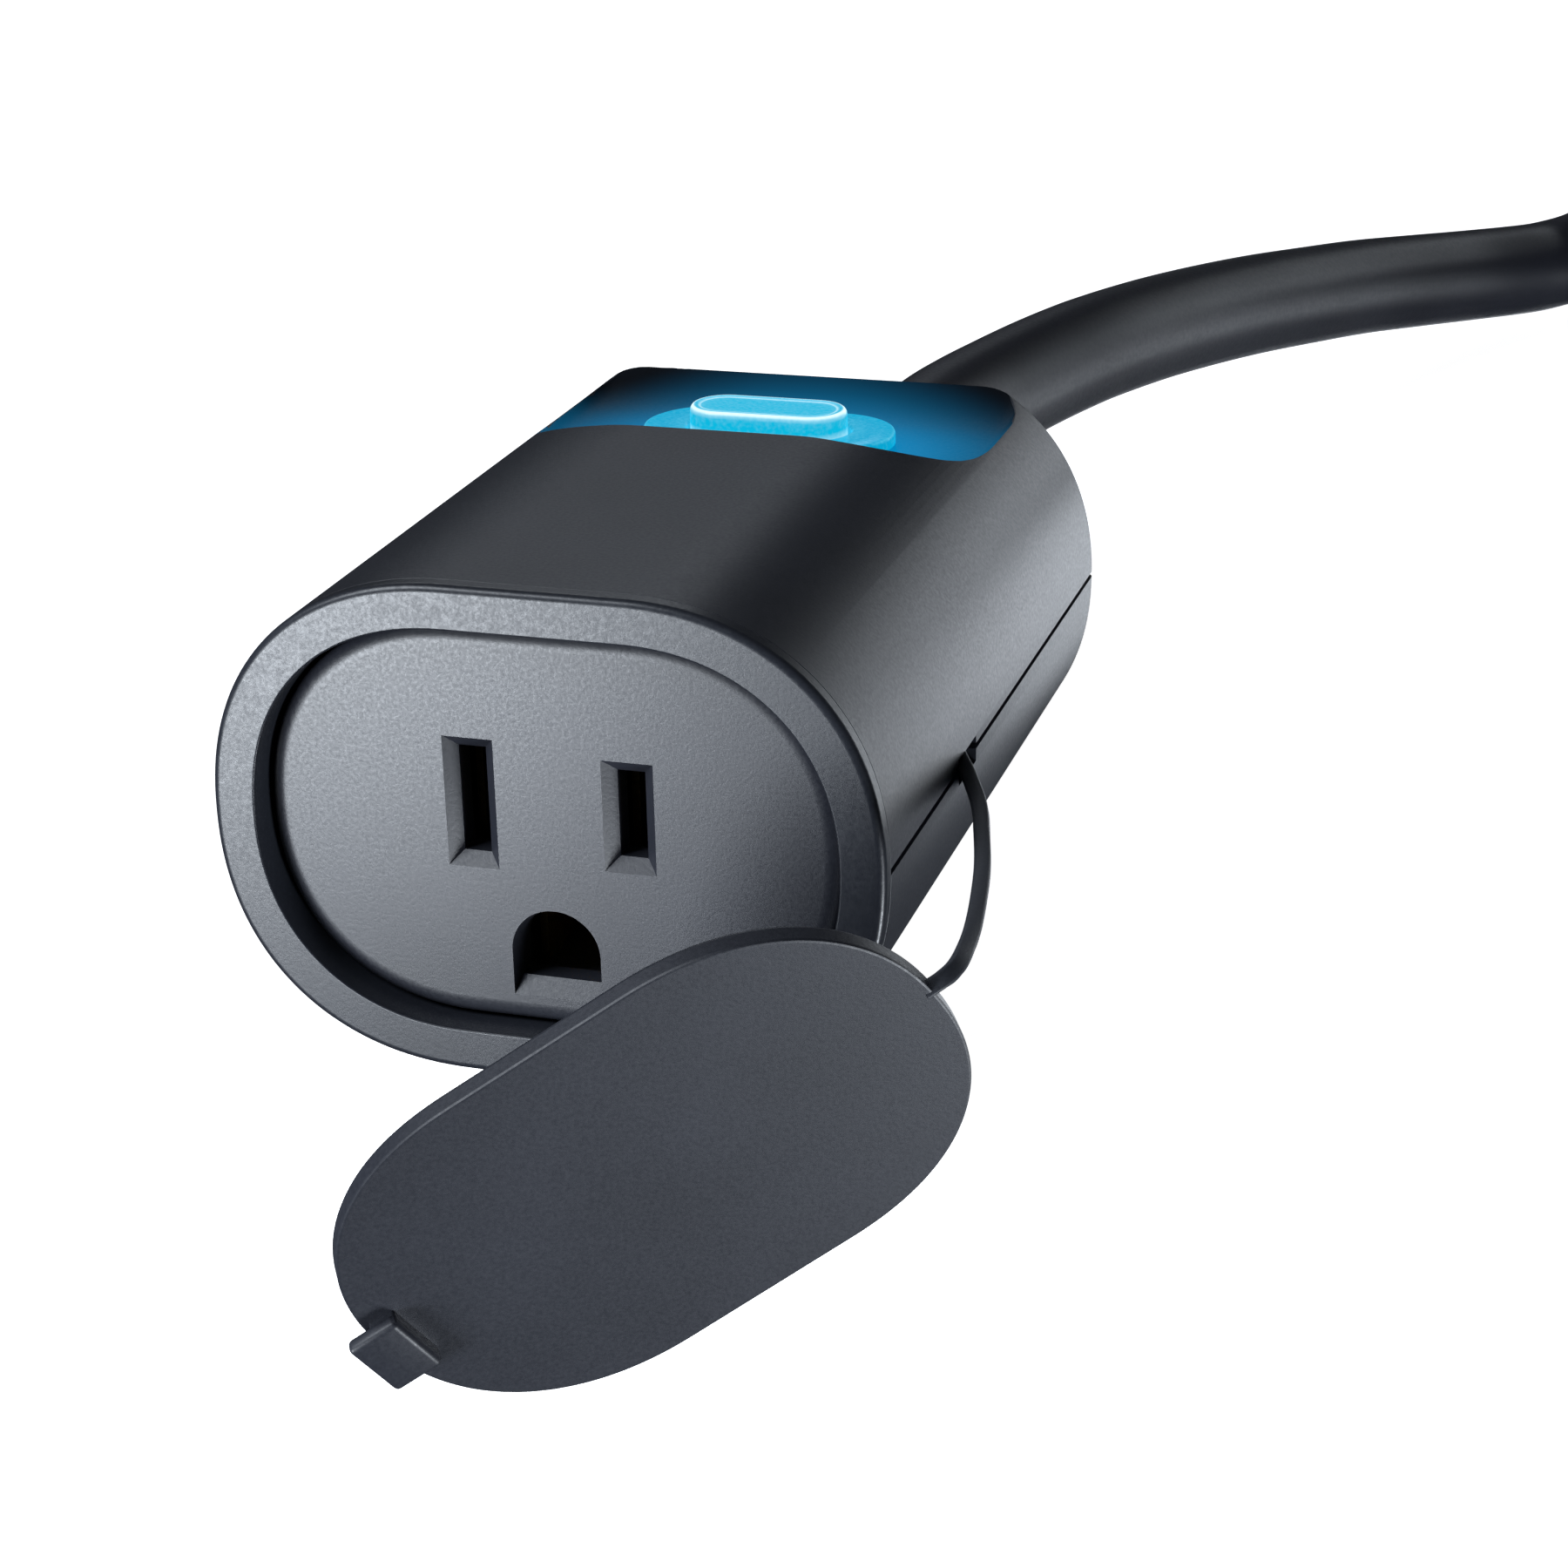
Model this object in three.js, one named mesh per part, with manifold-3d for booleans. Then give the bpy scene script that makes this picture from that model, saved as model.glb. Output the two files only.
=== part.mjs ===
// Outdoor smart plug: a one-socket switching housing with a tethered dust cap and a short lead.
// Millimetres. +Z is up, the socket face looks along -Y, and the origin is the middle of the underside.
import * as THREE from 'three';
import { mergeVertices } from 'three/addons/utils/BufferGeometryUtils.js';
import Module from 'manifold-3d';

const wasm = await Module();
wasm.setup();

// Housing
const bodyWidth = 53.6;
const bodyHeight = 39.6;
const bodyLength = 73;
const flatWidth = 13.4; // flat strip along the top and the underside
const sectionPower = 2.2; // roundness of the section's two ends
const wall = 2;
const gap = 0.3; // clearance between pieces that touch
const seamGap = 0.5; // open groove between the two shells

// Front bezel and socket face
const rimWidth = 3.45;
const lipLength = 1.3;
const collarLength = 4.2;
const faceDepth = 2.3; // socket face behind the rim
const faceThickness = 3;
const slotSpacing = 12.7;
const slotRise = 1.8; // blade slots above mid-height
const groundDrop = 11.9; // ground hole below the blade slots
const slotMouthWidth = 4.1;
const slotWidth = 2.2;
const slotChamfer = 1;
const neutralSlotHeight = 8.6;
const lineSlotHeight = 7;
const groundRadius = 3.66;

// Recess for the button
const recessWidth = 42;
const recessLength = 29;
const recessFloor = 5.2; // below the top of the housing
const recessLip = 2.85; // rear edge, below the top of the housing
const recessCorner = { x: 11, y: 16 };
const recessFillet = 3;
const lipRun = 7; // length over which the floor climbs to the rear edge

// Button and light ring
const buttonFromRear = 14;
const buttonLength = 14.4;
const buttonWidth = 6.4;
const buttonTop = 1.9; // below the top of the housing
const buttonSlack = 0.35;
const buttonFlange = 1.1;
const ringBorder = { x: 3.95, y: 2.45 };
const ringSkirt = 1.25;
const ringFlangeThickness = 1.1;

// Dust cap, its tether and how far it hangs open
const capThickness = 1.6;
const capInset = 0.3; // seated cap below the rim
const tabLength = 4;
const tabWidth = 6;
const tabHeight = 1.4;
const tabOverhang = 1.25;
const tetherThickness = 1.4;
const tetherWidth = 3;
const tetherFromFront = 22.9; // where the tether leaves the seam
const tetherReach = 2.2; // cap edge to the tether's end joint
const foldGap = 1.3; // strap left out each side of the fold
const hingeGap = 0.9;
const foldFromSide = 8.5;
const foldFromFront = -3.98;
const capJointFromSide = 9.46;
const capJointFromFront = -14.29;
const capHangAngles = [32.918, -19.387, 33.656]; // degrees about X, then Y, then Z

// Lead and its plug
const cordDiameter = 12.5;
const bootLength = 30;
const bootFlange = 4.25; // flange and shoulder radius beyond the cord
const bootNeck = 2.25;
const bootTip = 1.6;
const plugBootLength = 13.4;
const plugLength = 27.5;
const plugWidth = 34;
const plugHeight = 27.4;
const bladeLength = 17.4;
const bladeThickness = 1.5;
const groundPinLength = 20.5;
const groundPinRadius = 2.4;

// Circuit boards and screws
const boardThickness = 1.6;
const boardTop = 17.6;
const boardWidth = 28.8;
const boardLength = 32.5;
const buttonBoardTop = 27.5;
const screwHead = 2.6;
const screwShank = 1.4;
const bossRadius = 4.3;
const bossSide = 19.5;
const bossInset = { front: 12.5, rear: 10.5 };

// Places worked out from the sizes above
const front = -bodyLength / 2;
const rear = bodyLength / 2;
const middle = bodyHeight / 2;
const shellFront = front + lipLength + gap;
const faceFront = front + faceDepth;
const faceRear = faceFront + faceThickness;
const bladeHeight = middle + slotRise;
const groundHeight = bladeHeight - groundDrop;
const recessFront = rear - recessLength;
const recessBottom = bodyHeight - recessFloor;
const buttonY = rear - buttonFromRear;
const boardFront = front + 26.5;
const boardBottom = boardTop - boardThickness;
const aboveBoard = boardTop + gap;
const carrierFront = faceRear + 1.4;
const carrierRear = boardFront - 5;
const contactFront = carrierFront + gap;
const contactRear = carrierRear - 2;
const cordRadius = cordDiameter / 2;
const side = bodyWidth / 2;
const seamLow = middle - seamGap / 2;
const seamHigh = middle + seamGap / 2;
const screwPlaces = [
  { name: 'front_left', x: -bossSide, y: front + bossInset.front },
  { name: 'front_right', x: bossSide, y: front + bossInset.front },
  { name: 'rear_left', x: -bossSide, y: rear - bossInset.rear },
  { name: 'rear_right', x: bossSide, y: rear - bossInset.rear },
];
const postPlaces = [
  { name: 'front', x: 11.5, y: boardFront + 3 },
  { name: 'rear', x: -11, y: boardFront + boardLength - 3 },
];
const headSeat = 8.3; // underside of the housing screws' heads
const postRadius = 2.6;
const postScrew = { head: 2.2, shank: 1.1, hole: 1.4 };
const clampFront = rear - 10.3;
const clampRear = rear - 6.3;
const clampWidth = 21;
const clampTop = 28.4;
const clampScrewX = 8.9;

const finish = {
  shell: { color: 0x35383f, roughness: 0.55 },
  bezel: { color: 0x4a4d54, roughness: 0.5 },
  face: { color: 0x5d6068, roughness: 0.6 },
  cap: { color: 0x33363c, roughness: 0.85 },
  tether: { color: 0x3a3e45, roughness: 0.8 },
  cord: { color: 0x24252b, roughness: 0.45 },
  lens: { color: 0x2bbdf0, roughness: 0.2 },
  metal: { color: 0xb8b4a4, roughness: 0.35, metalness: 1 },
  copper: { color: 0xb87346, roughness: 0.4, metalness: 1 },
  board: { color: 0x1e5a3a, roughness: 0.5 },
  dark: { color: 0x202124, roughness: 0.6 },
  relay: { color: 0x2a55a0, roughness: 0.45 },
  yellow: { color: 0xd8a72a, roughness: 0.5 },
  white: { color: 0xe8e6df, roughness: 0.6 },
  green: { color: 0x2f7a45, roughness: 0.5 },
  red: { color: 0xb03028, roughness: 0.5 },
  seal: { color: 0x17181a, roughness: 0.9 },
};

const plug = new THREE.Group();

function toSolid(geometry) {
  geometry.deleteAttribute('normal');
  geometry.deleteAttribute('uv');
  const merged = mergeVertices(geometry, 1e-4);
  const vertProperties = new Float32Array(merged.attributes.position.array);
  const triVerts = new Uint32Array(merged.index.array);
  return new wasm.Manifold(new wasm.Mesh({ numProp: 3, vertProperties, triVerts }));
}

function addPiece(name, solid, look, parent = plug) {
  const { vertProperties, triVerts } = solid.getMesh();
  const geometry = new THREE.BufferGeometry();
  geometry.setAttribute('position', new THREE.BufferAttribute(vertProperties, 3));
  geometry.setIndex(new THREE.BufferAttribute(triVerts, 1));
  geometry.computeVertexNormals();
  const material = new THREE.MeshStandardMaterial({ metalness: 0, ...finish[look] });
  const mesh = new THREE.Mesh(geometry, material);
  mesh.name = name;
  parent.add(mesh);
  return mesh;
}

function extrude(shape, depth) {
  return new THREE.ExtrudeGeometry(shape, { depth, bevelEnabled: false, curveSegments: 10 });
}

// The outline's x and y become X and Z, drawn out from y = from to y = to.
function alongY(shape, from, to) {
  const geometry = extrude(shape, to - from);
  geometry.rotateX(Math.PI / 2);
  geometry.translate(0, to, 0);
  return toSolid(geometry);
}

function alongZ(shape, from, to) {
  const geometry = extrude(shape, to - from);
  geometry.translate(0, 0, from);
  return toSolid(geometry);
}

// The outline's x and y become Y and Z.
function alongX(shape, from, to) {
  const geometry = extrude(shape, to - from);
  const yAxis = new THREE.Vector3(0, 1, 0);
  const zAxis = new THREE.Vector3(0, 0, 1);
  const xAxis = new THREE.Vector3(1, 0, 0);
  geometry.applyMatrix4(new THREE.Matrix4().makeBasis(yAxis, zAxis, xAxis));
  geometry.translate(from, 0, 0);
  return toSolid(geometry);
}

function box([x0, x1], [y0, y1], [z0, z1]) {
  const geometry = new THREE.BoxGeometry(x1 - x0, y1 - y0, z1 - z0);
  geometry.translate((x0 + x1) / 2, (y0 + y1) / 2, (z0 + z1) / 2);
  return toSolid(geometry);
}

function rodZ(x, y, radius, from, to, sides = 24) {
  const geometry = new THREE.CylinderGeometry(radius, radius, to - from, sides);
  geometry.rotateX(Math.PI / 2);
  geometry.translate(x, y, (from + to) / 2);
  return toSolid(geometry);
}

function rodY(x, z, radius, from, to, sides = 32) {
  const geometry = new THREE.CylinderGeometry(radius, radius, to - from, sides);
  geometry.translate(x, (from + to) / 2, z);
  return toSolid(geometry);
}

function stadium(length, width, y = 0) {
  const straight = (length - width) / 2;
  const shape = new THREE.Shape();
  shape.absarc(straight, y, width / 2, -Math.PI / 2, Math.PI / 2, false);
  shape.absarc(-straight, y, width / 2, Math.PI / 2, Math.PI * 1.5, false);
  shape.closePath();
  return shape;
}

function roundedBox(width, height, radius, x = 0, y = 0) {
  const right = x + width / 2 - radius;
  const left = x - width / 2 + radius;
  const top = y + height / 2 - radius;
  const bottom = y - height / 2 + radius;
  const shape = new THREE.Shape();
  shape.absarc(right, bottom, radius, -Math.PI / 2, 0, false);
  shape.absarc(right, top, radius, 0, Math.PI / 2, false);
  shape.absarc(left, top, radius, Math.PI / 2, Math.PI, false);
  shape.absarc(left, bottom, radius, Math.PI, Math.PI * 1.5, false);
  shape.closePath();
  return shape;
}

// Cross-section of the housing: flat top and underside, ends drawn as a superellipse.
function sectionOutline(inset, centre = middle) {
  const flat = flatWidth / 2;
  const reach = side - inset - flat;
  const rise = bodyHeight / 2 - inset;
  const steps = 14;
  const points = [];
  for (const [signX, signZ] of [[1, 1], [-1, 1], [-1, -1], [1, -1]]) {
    for (let step = 0; step < steps; step += 1) {
      const forward = signX * signZ > 0;
      const turn = ((forward ? step : step + 1) / steps) * (Math.PI / 2);
      const angle = forward ? turn : Math.PI / 2 - turn + Math.PI / 2 / steps;
      const across = Math.abs(Math.cos(angle)) < 1e-9 ? 0 : Math.cos(angle) ** (2 / sectionPower);
      const up = Math.abs(Math.sin(angle)) < 1e-9 ? 0 : Math.sin(angle) ** (2 / sectionPower);
      points.push(new THREE.Vector2(signX * (flat + reach * across), centre + signZ * rise * up));
    }
    if (signX * signZ > 0) {
      points.push(new THREE.Vector2(signX * flat, centre + signZ * rise));
    }
  }
  return new THREE.Shape(points);
}

// A rectangular funnel cut into the socket face, wide at the front.
function funnel(x, z, mouth, throat, from, to) {
  const corners = [[-1, -1], [1, -1], [1, 1], [-1, 1]];
  const ring = (size, y) => corners.map(([cx, cz]) => [x + (cx * size[0]) / 2, y, z + (cz * size[1]) / 2]);
  const points = [...ring(mouth, from), ...ring(throat, to)];
  const faces = [0, 1, 2, 0, 2, 3, 4, 6, 5, 4, 7, 6];
  for (let corner = 0; corner < 4; corner += 1) {
    const next = (corner + 1) % 4;
    faces.push(corner, corner + 4, next, next, corner + 4, next + 4);
  }
  const geometry = new THREE.BufferGeometry();
  geometry.setAttribute('position', new THREE.BufferAttribute(new Float32Array(points.flat()), 3));
  geometry.setIndex(faces);
  return toSolid(geometry);
}

function makeBezel() {
  const lip = alongY(sectionOutline(0), front, front + lipLength);
  const lipRear = front + lipLength;
  const collar = alongY(sectionOutline(wall + gap), lipRear - 0.01, lipRear + collarLength);
  const opening = alongY(sectionOutline(rimWidth), front - 1, rear);
  addPiece('front_bezel', lip.add(collar).subtract(opening), 'bezel');
}

function groundOutline(extra) {
  const shape = new THREE.Shape();
  const radius = groundRadius + extra;
  shape.absarc(0, groundHeight, radius, 0, Math.PI, false);
  shape.lineTo(-radius, groundHeight - radius);
  shape.lineTo(radius, groundHeight - radius);
  shape.closePath();
  return shape;
}

function makeSocketFace() {
  let face = alongY(sectionOutline(rimWidth + gap), faceFront, faceRear);
  const slots = [[-slotSpacing / 2, neutralSlotHeight], [slotSpacing / 2, lineSlotHeight]];
  for (const [x, height] of slots) {
    const mouth = [slotMouthWidth, height + slotChamfer * 2];
    const throat = [slotWidth, height];
    const chamfer = funnel(x, bladeHeight, mouth, throat, faceFront, faceFront + slotChamfer);
    const low = bladeHeight - height / 2;
    const across = [x - slotWidth / 2, x + slotWidth / 2];
    const through = box(across, [faceFront, faceRear + 1], [low, low + height]);
    face = face.subtract(chamfer).subtract(through);
  }
  face = face.subtract(alongY(groundOutline(0), faceFront - 1, faceRear + 1));
  addPiece('socket_face', face, 'face');

  const outer = alongY(sectionOutline(rimWidth + gap), faceRear + gap, carrierFront - gap);
  const inner = alongY(sectionOutline(rimWidth + gap + 1.5), faceRear, carrierFront);
  addPiece('face_gasket', outer.subtract(inner), 'seal');
}

function makeContact(name, x, z, opening, halfHeight, tailLow) {
  const sheet = 0.6;
  const inner = opening / 2;
  const outer = inner + sheet;
  const heights = [z - halfHeight, z + halfHeight];
  const leafEnd = contactRear - 0.01;
  const leaves = box([x - outer, x - inner], [contactFront, leafEnd], heights)
    .add(box([x + inner, x + outer], [contactFront, leafEnd], heights))
    .add(box([x - outer, x + outer], [contactRear - sheet, contactRear], heights));
  const tail = box([x - sheet / 2, x + sheet / 2], [contactRear - sheet / 2, boardFront - gap],
    [tailLow, tailLow + 4]);
  addPiece(name, leaves.add(tail), 'copper');
}

function makeContacts() {
  const carrierSide = 14.5;
  const pocket = { side: 2.9, neutral: 5.6, line: 4.8, ground: 3.9, groundHalf: 3.5 };
  const pocketRear = contactRear + gap;
  const ys = [carrierFront - 1, pocketRear];
  let carrier = box([-carrierSide, carrierSide], [carrierFront, carrierRear], [4.5, bladeHeight + 9.4]);
  const half = slotSpacing / 2;
  for (const [x, height] of [[-half, pocket.neutral], [half, pocket.line]]) {
    carrier = carrier.subtract(box([x - pocket.side, x + pocket.side], ys,
      [bladeHeight - height, bladeHeight + height]));
    carrier = carrier.subtract(box([x - 0.6, x + 0.6], [carrierFront, carrierRear + 1],
      [bladeHeight - 4.5, bladeHeight + 0.1]));
  }
  carrier = carrier.subtract(box([-pocket.ground, pocket.ground], ys,
    [groundHeight - pocket.groundHalf, groundHeight + pocket.groundHalf]));
  carrier = carrier.subtract(box([-0.6, 0.6], [carrierFront, carrierRear + 1],
    [groundHeight - 2, groundHeight + 2.6]));
  addPiece('contact_carrier', carrier, 'white');
  makeContact('neutral_contact', -half, bladeHeight, 1.5, 4.2, bladeHeight - 4.2);
  makeContact('line_contact', half, bladeHeight, 1.5, 4.2, bladeHeight - 4.2);
  makeContact('ground_contact', 0, groundHeight, 5, 3, groundHeight - 1.7);
}

function recessPlan(grow) {
  const half = recessWidth / 2 + grow;
  const start = recessFront - grow;
  const end = rear + 5;
  const rx = recessCorner.x + grow;
  const ry = recessCorner.y + grow;
  const shape = new THREE.Shape();
  shape.moveTo(half, end);
  shape.lineTo(-half, end);
  shape.absellipse(-half + rx, start + ry, rx, ry, Math.PI, Math.PI * 1.5, false);
  shape.absellipse(half - rx, start + ry, rx, ry, Math.PI * 1.5, Math.PI * 2, false);
  shape.closePath();
  return shape;
}

function recessProfile(grow) {
  const start = recessFront - grow;
  const floor = recessBottom - grow;
  const lip = bodyHeight - recessLip - grow;
  const top = bodyHeight + 5;
  const shape = new THREE.Shape();
  shape.moveTo(start, top);
  shape.lineTo(start, floor + recessFillet);
  shape.quadraticCurveTo(start, floor, start + recessFillet, floor);
  shape.lineTo(rear - lipRun, floor);
  shape.quadraticCurveTo(rear - lipRun / 2, floor, rear, lip);
  shape.lineTo(rear + 6, lip + 3);
  shape.lineTo(rear + 6, top);
  shape.closePath();
  return shape;
}

// The dished recess that runs out through the rear edge; grow makes the pocket's skin.
function recessCutter(grow) {
  const reach = recessWidth / 2 + grow + 1;
  const plan = alongZ(recessPlan(grow), middle, bodyHeight + 4);
  return plan.intersect(alongX(recessProfile(grow), -reach, reach));
}

function tetherSlot() {
  const mouth = front + tetherFromFront;
  const half = tetherWidth / 2 + gap;
  return box([side - wall - gap, side + 1], [mouth - 1.7, mouth + 3.6], [middle - half, middle + half]);
}

function shellBlank() {
  return alongY(sectionOutline(0), shellFront, rear);
}

function screwBosses() {
  return screwPlaces.map(({ x, y }) => rodZ(x, y, bossRadius, 0.5, bodyHeight - 0.5));
}

function makeUpperShell() {
  const above = box([-side - 1, side + 1], [front, rear + 1], [seamHigh, bodyHeight + 1]);
  const cavity = alongY(sectionOutline(wall), shellFront - 1, rear - wall).subtract(recessCutter(wall));
  let shell = shellBlank().subtract(cavity);
  const bossLimit = alongY(sectionOutline(wall / 2), shellFront, rear - 0.5);
  for (const boss of screwBosses()) {
    shell = shell.add(boss.intersect(bossLimit));
  }
  shell = shell.intersect(above).subtract(recessCutter(0));
  for (const { x, y } of screwPlaces) {
    shell = shell.subtract(rodZ(x, y, screwShank + gap, middle - 1, middle + 8.5, 16));
  }
  const round = (buttonSlack + ringSkirt + gap) * 2;
  const ringHole = stadium(buttonLength + round, buttonWidth + round, buttonY);
  shell = shell.subtract(alongZ(ringHole, middle + 5, bodyHeight));
  shell = shell.subtract(rodY(0, middle, cordRadius + bootNeck + gap, rear - wall - 1, rear + 1));
  addPiece('upper_shell', shell.subtract(tetherSlot()), 'shell');
}

function makeLowerShell() {
  const below = box([-side - 1, side + 1], [front, rear + 1], [-1, seamLow]);
  const cavity = alongY(sectionOutline(wall), shellFront - 1, rear - wall);
  let shell = shellBlank().subtract(cavity);
  const limit = alongY(sectionOutline(wall / 2), shellFront, rear - 0.5);
  for (const boss of screwBosses()) {
    shell = shell.add(boss.intersect(limit));
  }
  for (const { x, y } of postPlaces) {
    shell = shell.add(rodZ(x, y, postRadius, 0.5, boardBottom - gap).intersect(limit));
  }
  const cradle = box([-clampWidth / 2, clampWidth / 2], [clampFront, clampRear], [0.5, middle - gap]);
  shell = shell.add(cradle.intersect(limit));
  shell = shell.intersect(below).subtract(rodY(0, middle, cordRadius + gap, clampFront - 1, rear - wall - 1));
  for (const { x, y } of screwPlaces) {
    shell = shell.subtract(rodZ(x, y, screwHead + gap, -1, headSeat));
    shell = shell.subtract(rodZ(x, y, screwShank + gap, 1, middle + 1, 16));
  }
  for (const { x, y } of postPlaces) {
    shell = shell.subtract(rodZ(x, y, postScrew.hole, 9, middle, 16));
  }
  for (const x of [-clampScrewX, clampScrewX]) {
    shell = shell.subtract(rodZ(x, (clampFront + clampRear) / 2, postScrew.hole, 11, middle + 1, 16));
  }
  shell = shell.subtract(rodY(0, middle, cordRadius + bootNeck + gap, rear - wall - 1, rear + 1));
  addPiece('lower_shell', shell.subtract(tetherSlot()), 'shell');
}

function makeHousingScrews() {
  for (const { name, x, y } of screwPlaces) {
    const head = rodZ(x, y, screwHead, headSeat - gap - 2.2, headSeat - gap);
    const shank = rodZ(x, y, screwShank, headSeat - gap - 0.1, middle + 7, 16);
    addPiece(`housing_screw_${name}`, head.add(shank), 'metal');
  }
}

function makeButton() {
  const top = bodyHeight - buttonTop;
  const flangeLow = buttonBoardTop + 2.8;
  const flange = stadium(buttonLength + buttonFlange * 2, buttonWidth + buttonFlange * 2, buttonY);
  const button = alongZ(flange, flangeLow, flangeLow + 0.8)
    .add(alongZ(stadium(buttonLength, buttonWidth, buttonY), flangeLow + 0.7, top));
  addPiece('power_button', button, 'lens');

  const hole = { x: buttonLength + buttonSlack * 2, y: buttonWidth + buttonSlack * 2 };
  const skirt = stadium(hole.x + ringSkirt * 2, hole.y + ringSkirt * 2, buttonY);
  const border = stadium(hole.x + ringBorder.x * 2, hole.y + ringBorder.y * 2, buttonY);
  const seat = recessBottom + gap;
  const ring = alongZ(border, seat, seat + ringFlangeThickness)
    .add(alongZ(skirt, flangeLow + 0.8 + gap, seat + 0.1))
    .subtract(alongZ(stadium(hole.x, hole.y, buttonY), middle, bodyHeight));
  addPiece('light_ring', ring, 'lens');
}

function makeButtonBoard() {
  const half = 9.5;
  const low = buttonBoardTop - 1;
  const along = [buttonY - 6.7, buttonY + 3.1];
  addPiece('button_board', box([-half, half], along, [low, buttonBoardTop]), 'board');
  const base = buttonBoardTop + gap;
  const switchBody = box([-3, 3], [buttonY - 3, buttonY + 3], [base, base + 1.5])
    .subtract(rodZ(0, buttonY, 1.9, low, base + 2));
  addPiece('tact_switch_body', switchBody, 'metal');
  addPiece('tact_switch_plunger', rodZ(0, buttonY, 1.6, base + 0.4, base + 2.2), 'dark');
  for (const [name, x] of [['status_led_left', -7], ['status_led_right', 7]]) {
    addPiece(name, box([x - 1.4, x + 1.4], [buttonY - 0.7, buttonY + 0.7], [base, base + 0.9]), 'white');
  }
}

function makeMainBoard() {
  const half = boardWidth / 2;
  const back = boardFront + boardLength;
  let board = box([-half, half], [boardFront, back], [boardBottom, boardTop]);
  for (const { name, x, y } of postPlaces) {
    board = board.subtract(rodZ(x, y, postScrew.hole, 0, middle + 1, 16));
    const screw = rodZ(x, y, postScrew.head, aboveBoard, aboveBoard + 1.4)
      .add(rodZ(x, y, postScrew.shank, 9.6, aboveBoard + 0.1, 16));
    addPiece(`board_screw_${name}`, screw, 'metal');
  }
  addPiece('main_board', board, 'board');
}

// Parts on the main board, each placed from the board's front edge.
function makeBoardParts() {
  const at = (near, far) => [boardFront + near, boardFront + far];
  const under = boardBottom - gap;
  addPiece('relay', box([-14, 5], at(0.5, 15.5), [aboveBoard, aboveBoard + 15.3]), 'relay');
  addPiece('power_transformer', box([-13, 1], at(16, 25.4), [aboveBoard, aboveBoard + 12.1]), 'yellow');
  addPiece('radio_module', box([3, 14], at(16, 32), [aboveBoard, aboveBoard + 2.7]), 'metal');
  addPiece('bulk_capacitor', rodY(-8.5, under - 4.5, 4, ...at(6, 20)), 'dark');
  addPiece('filter_capacitor', box([3.5, 14], at(7, 13), [under - 9, under]), 'yellow');
  addPiece('varistor', rodY(8.8, under - 5.2, 5, ...at(14.5, 17.9)), 'relay');
  addPiece('fuse', alongX(roundedBox(5, 5, 2.4, boardFront + 21.8, under - 2.6), 4, 13), 'white');
}

function tube(points, radius, steps, sides) {
  const shape = new THREE.Shape();
  for (let corner = 0; corner < sides; corner += 1) {
    const angle = (corner / sides) * Math.PI * 2;
    const place = [Math.cos(angle) * radius, Math.sin(angle) * radius];
    if (corner === 0) shape.moveTo(...place);
    else shape.lineTo(...place);
  }
  shape.closePath();
  const path = new THREE.CatmullRomCurve3(points.map((point) => new THREE.Vector3(...point)));
  return toSolid(new THREE.ExtrudeGeometry(shape, { steps, extrudePath: path, bevelEnabled: false }));
}

function makeWires() {
  const wireRadius = 1.3;
  const start = clampFront - gap - wireRadius;
  const board = boardFront + boardLength;
  const low = boardBottom - gap - wireRadius;
  for (const [name, way, look] of [['line_wire', 1, 'dark'], ['neutral_wire', -1, 'white']]) {
    const route = [[way * 3.4, start, 15.2], [way * 4, start - 1.4, 14], [way * 5.4, board - 2, low - 0.6],
      [way * 6.6, board - 5.5, low - 0.6]];
    addPiece(name, tube(route, wireRadius, 10, 8), look);
  }
  addPiece('ground_wire', tube([[0, start, 15.4], [0, start - 3, 11.4], [0, start - 8, 8.6],
    [0, (start + boardFront) / 2, 7.6], [0, boardFront + 4, 8.6], [0, boardFront + gap, groundHeight]],
  wireRadius, 16, 8), 'green');
}

function makeCordEntry() {
  const clamp = box([-clampWidth / 2, clampWidth / 2], [clampFront, clampRear], [middle + gap, clampTop])
    .subtract(rodY(0, middle, cordRadius + gap, clampFront - 1, clampRear + 1));
  let drilled = clamp;
  const y = (clampFront + clampRear) / 2;
  for (const [name, x] of [['left', -clampScrewX], ['right', clampScrewX]]) {
    drilled = drilled.subtract(rodZ(x, y, postScrew.hole, middle, clampTop + 1, 16));
    const screw = rodZ(x, y, 1.9, clampTop + gap, clampTop + gap + 1.3)
      .add(rodZ(x, y, postScrew.shank, 12, clampTop + gap + 0.1, 16));
    addPiece(`clamp_screw_${name}`, screw, 'metal');
  }
  addPiece('cord_clamp', drilled, 'dark');
  addPiece('cord_jacket_end', rodY(0, middle, cordRadius, clampFront - gap, rear - wall - 3.6), 'cord');
}

// Moulded boot: flange inside the rear wall, neck through it, ribbed taper outside.
function makeStrainRelief() {
  const flangeFront = rear - wall - 3.3;
  const flangeRear = rear - wall - gap;
  const shoulder = rear + gap;
  const tip = rear + bootLength;
  const profile = [[0, flangeFront], [cordRadius + bootFlange, flangeFront],
    [cordRadius + bootFlange, flangeRear], [cordRadius + bootNeck, flangeRear],
    [cordRadius + bootNeck, shoulder], [cordRadius + bootFlange - 0.1, shoulder],
    [cordRadius + bootFlange - 0.1, shoulder + 2], [cordRadius + bootFlange - 1, shoulder + 3],
    [cordRadius + bootTip, tip], [0, tip]];
  const geometry = new THREE.LatheGeometry(profile.map(([radius, y]) => new THREE.Vector2(radius, y)), 32);
  geometry.translate(0, 0, middle);
  addPiece('strain_relief', toSolid(geometry), 'cord');
}

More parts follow.
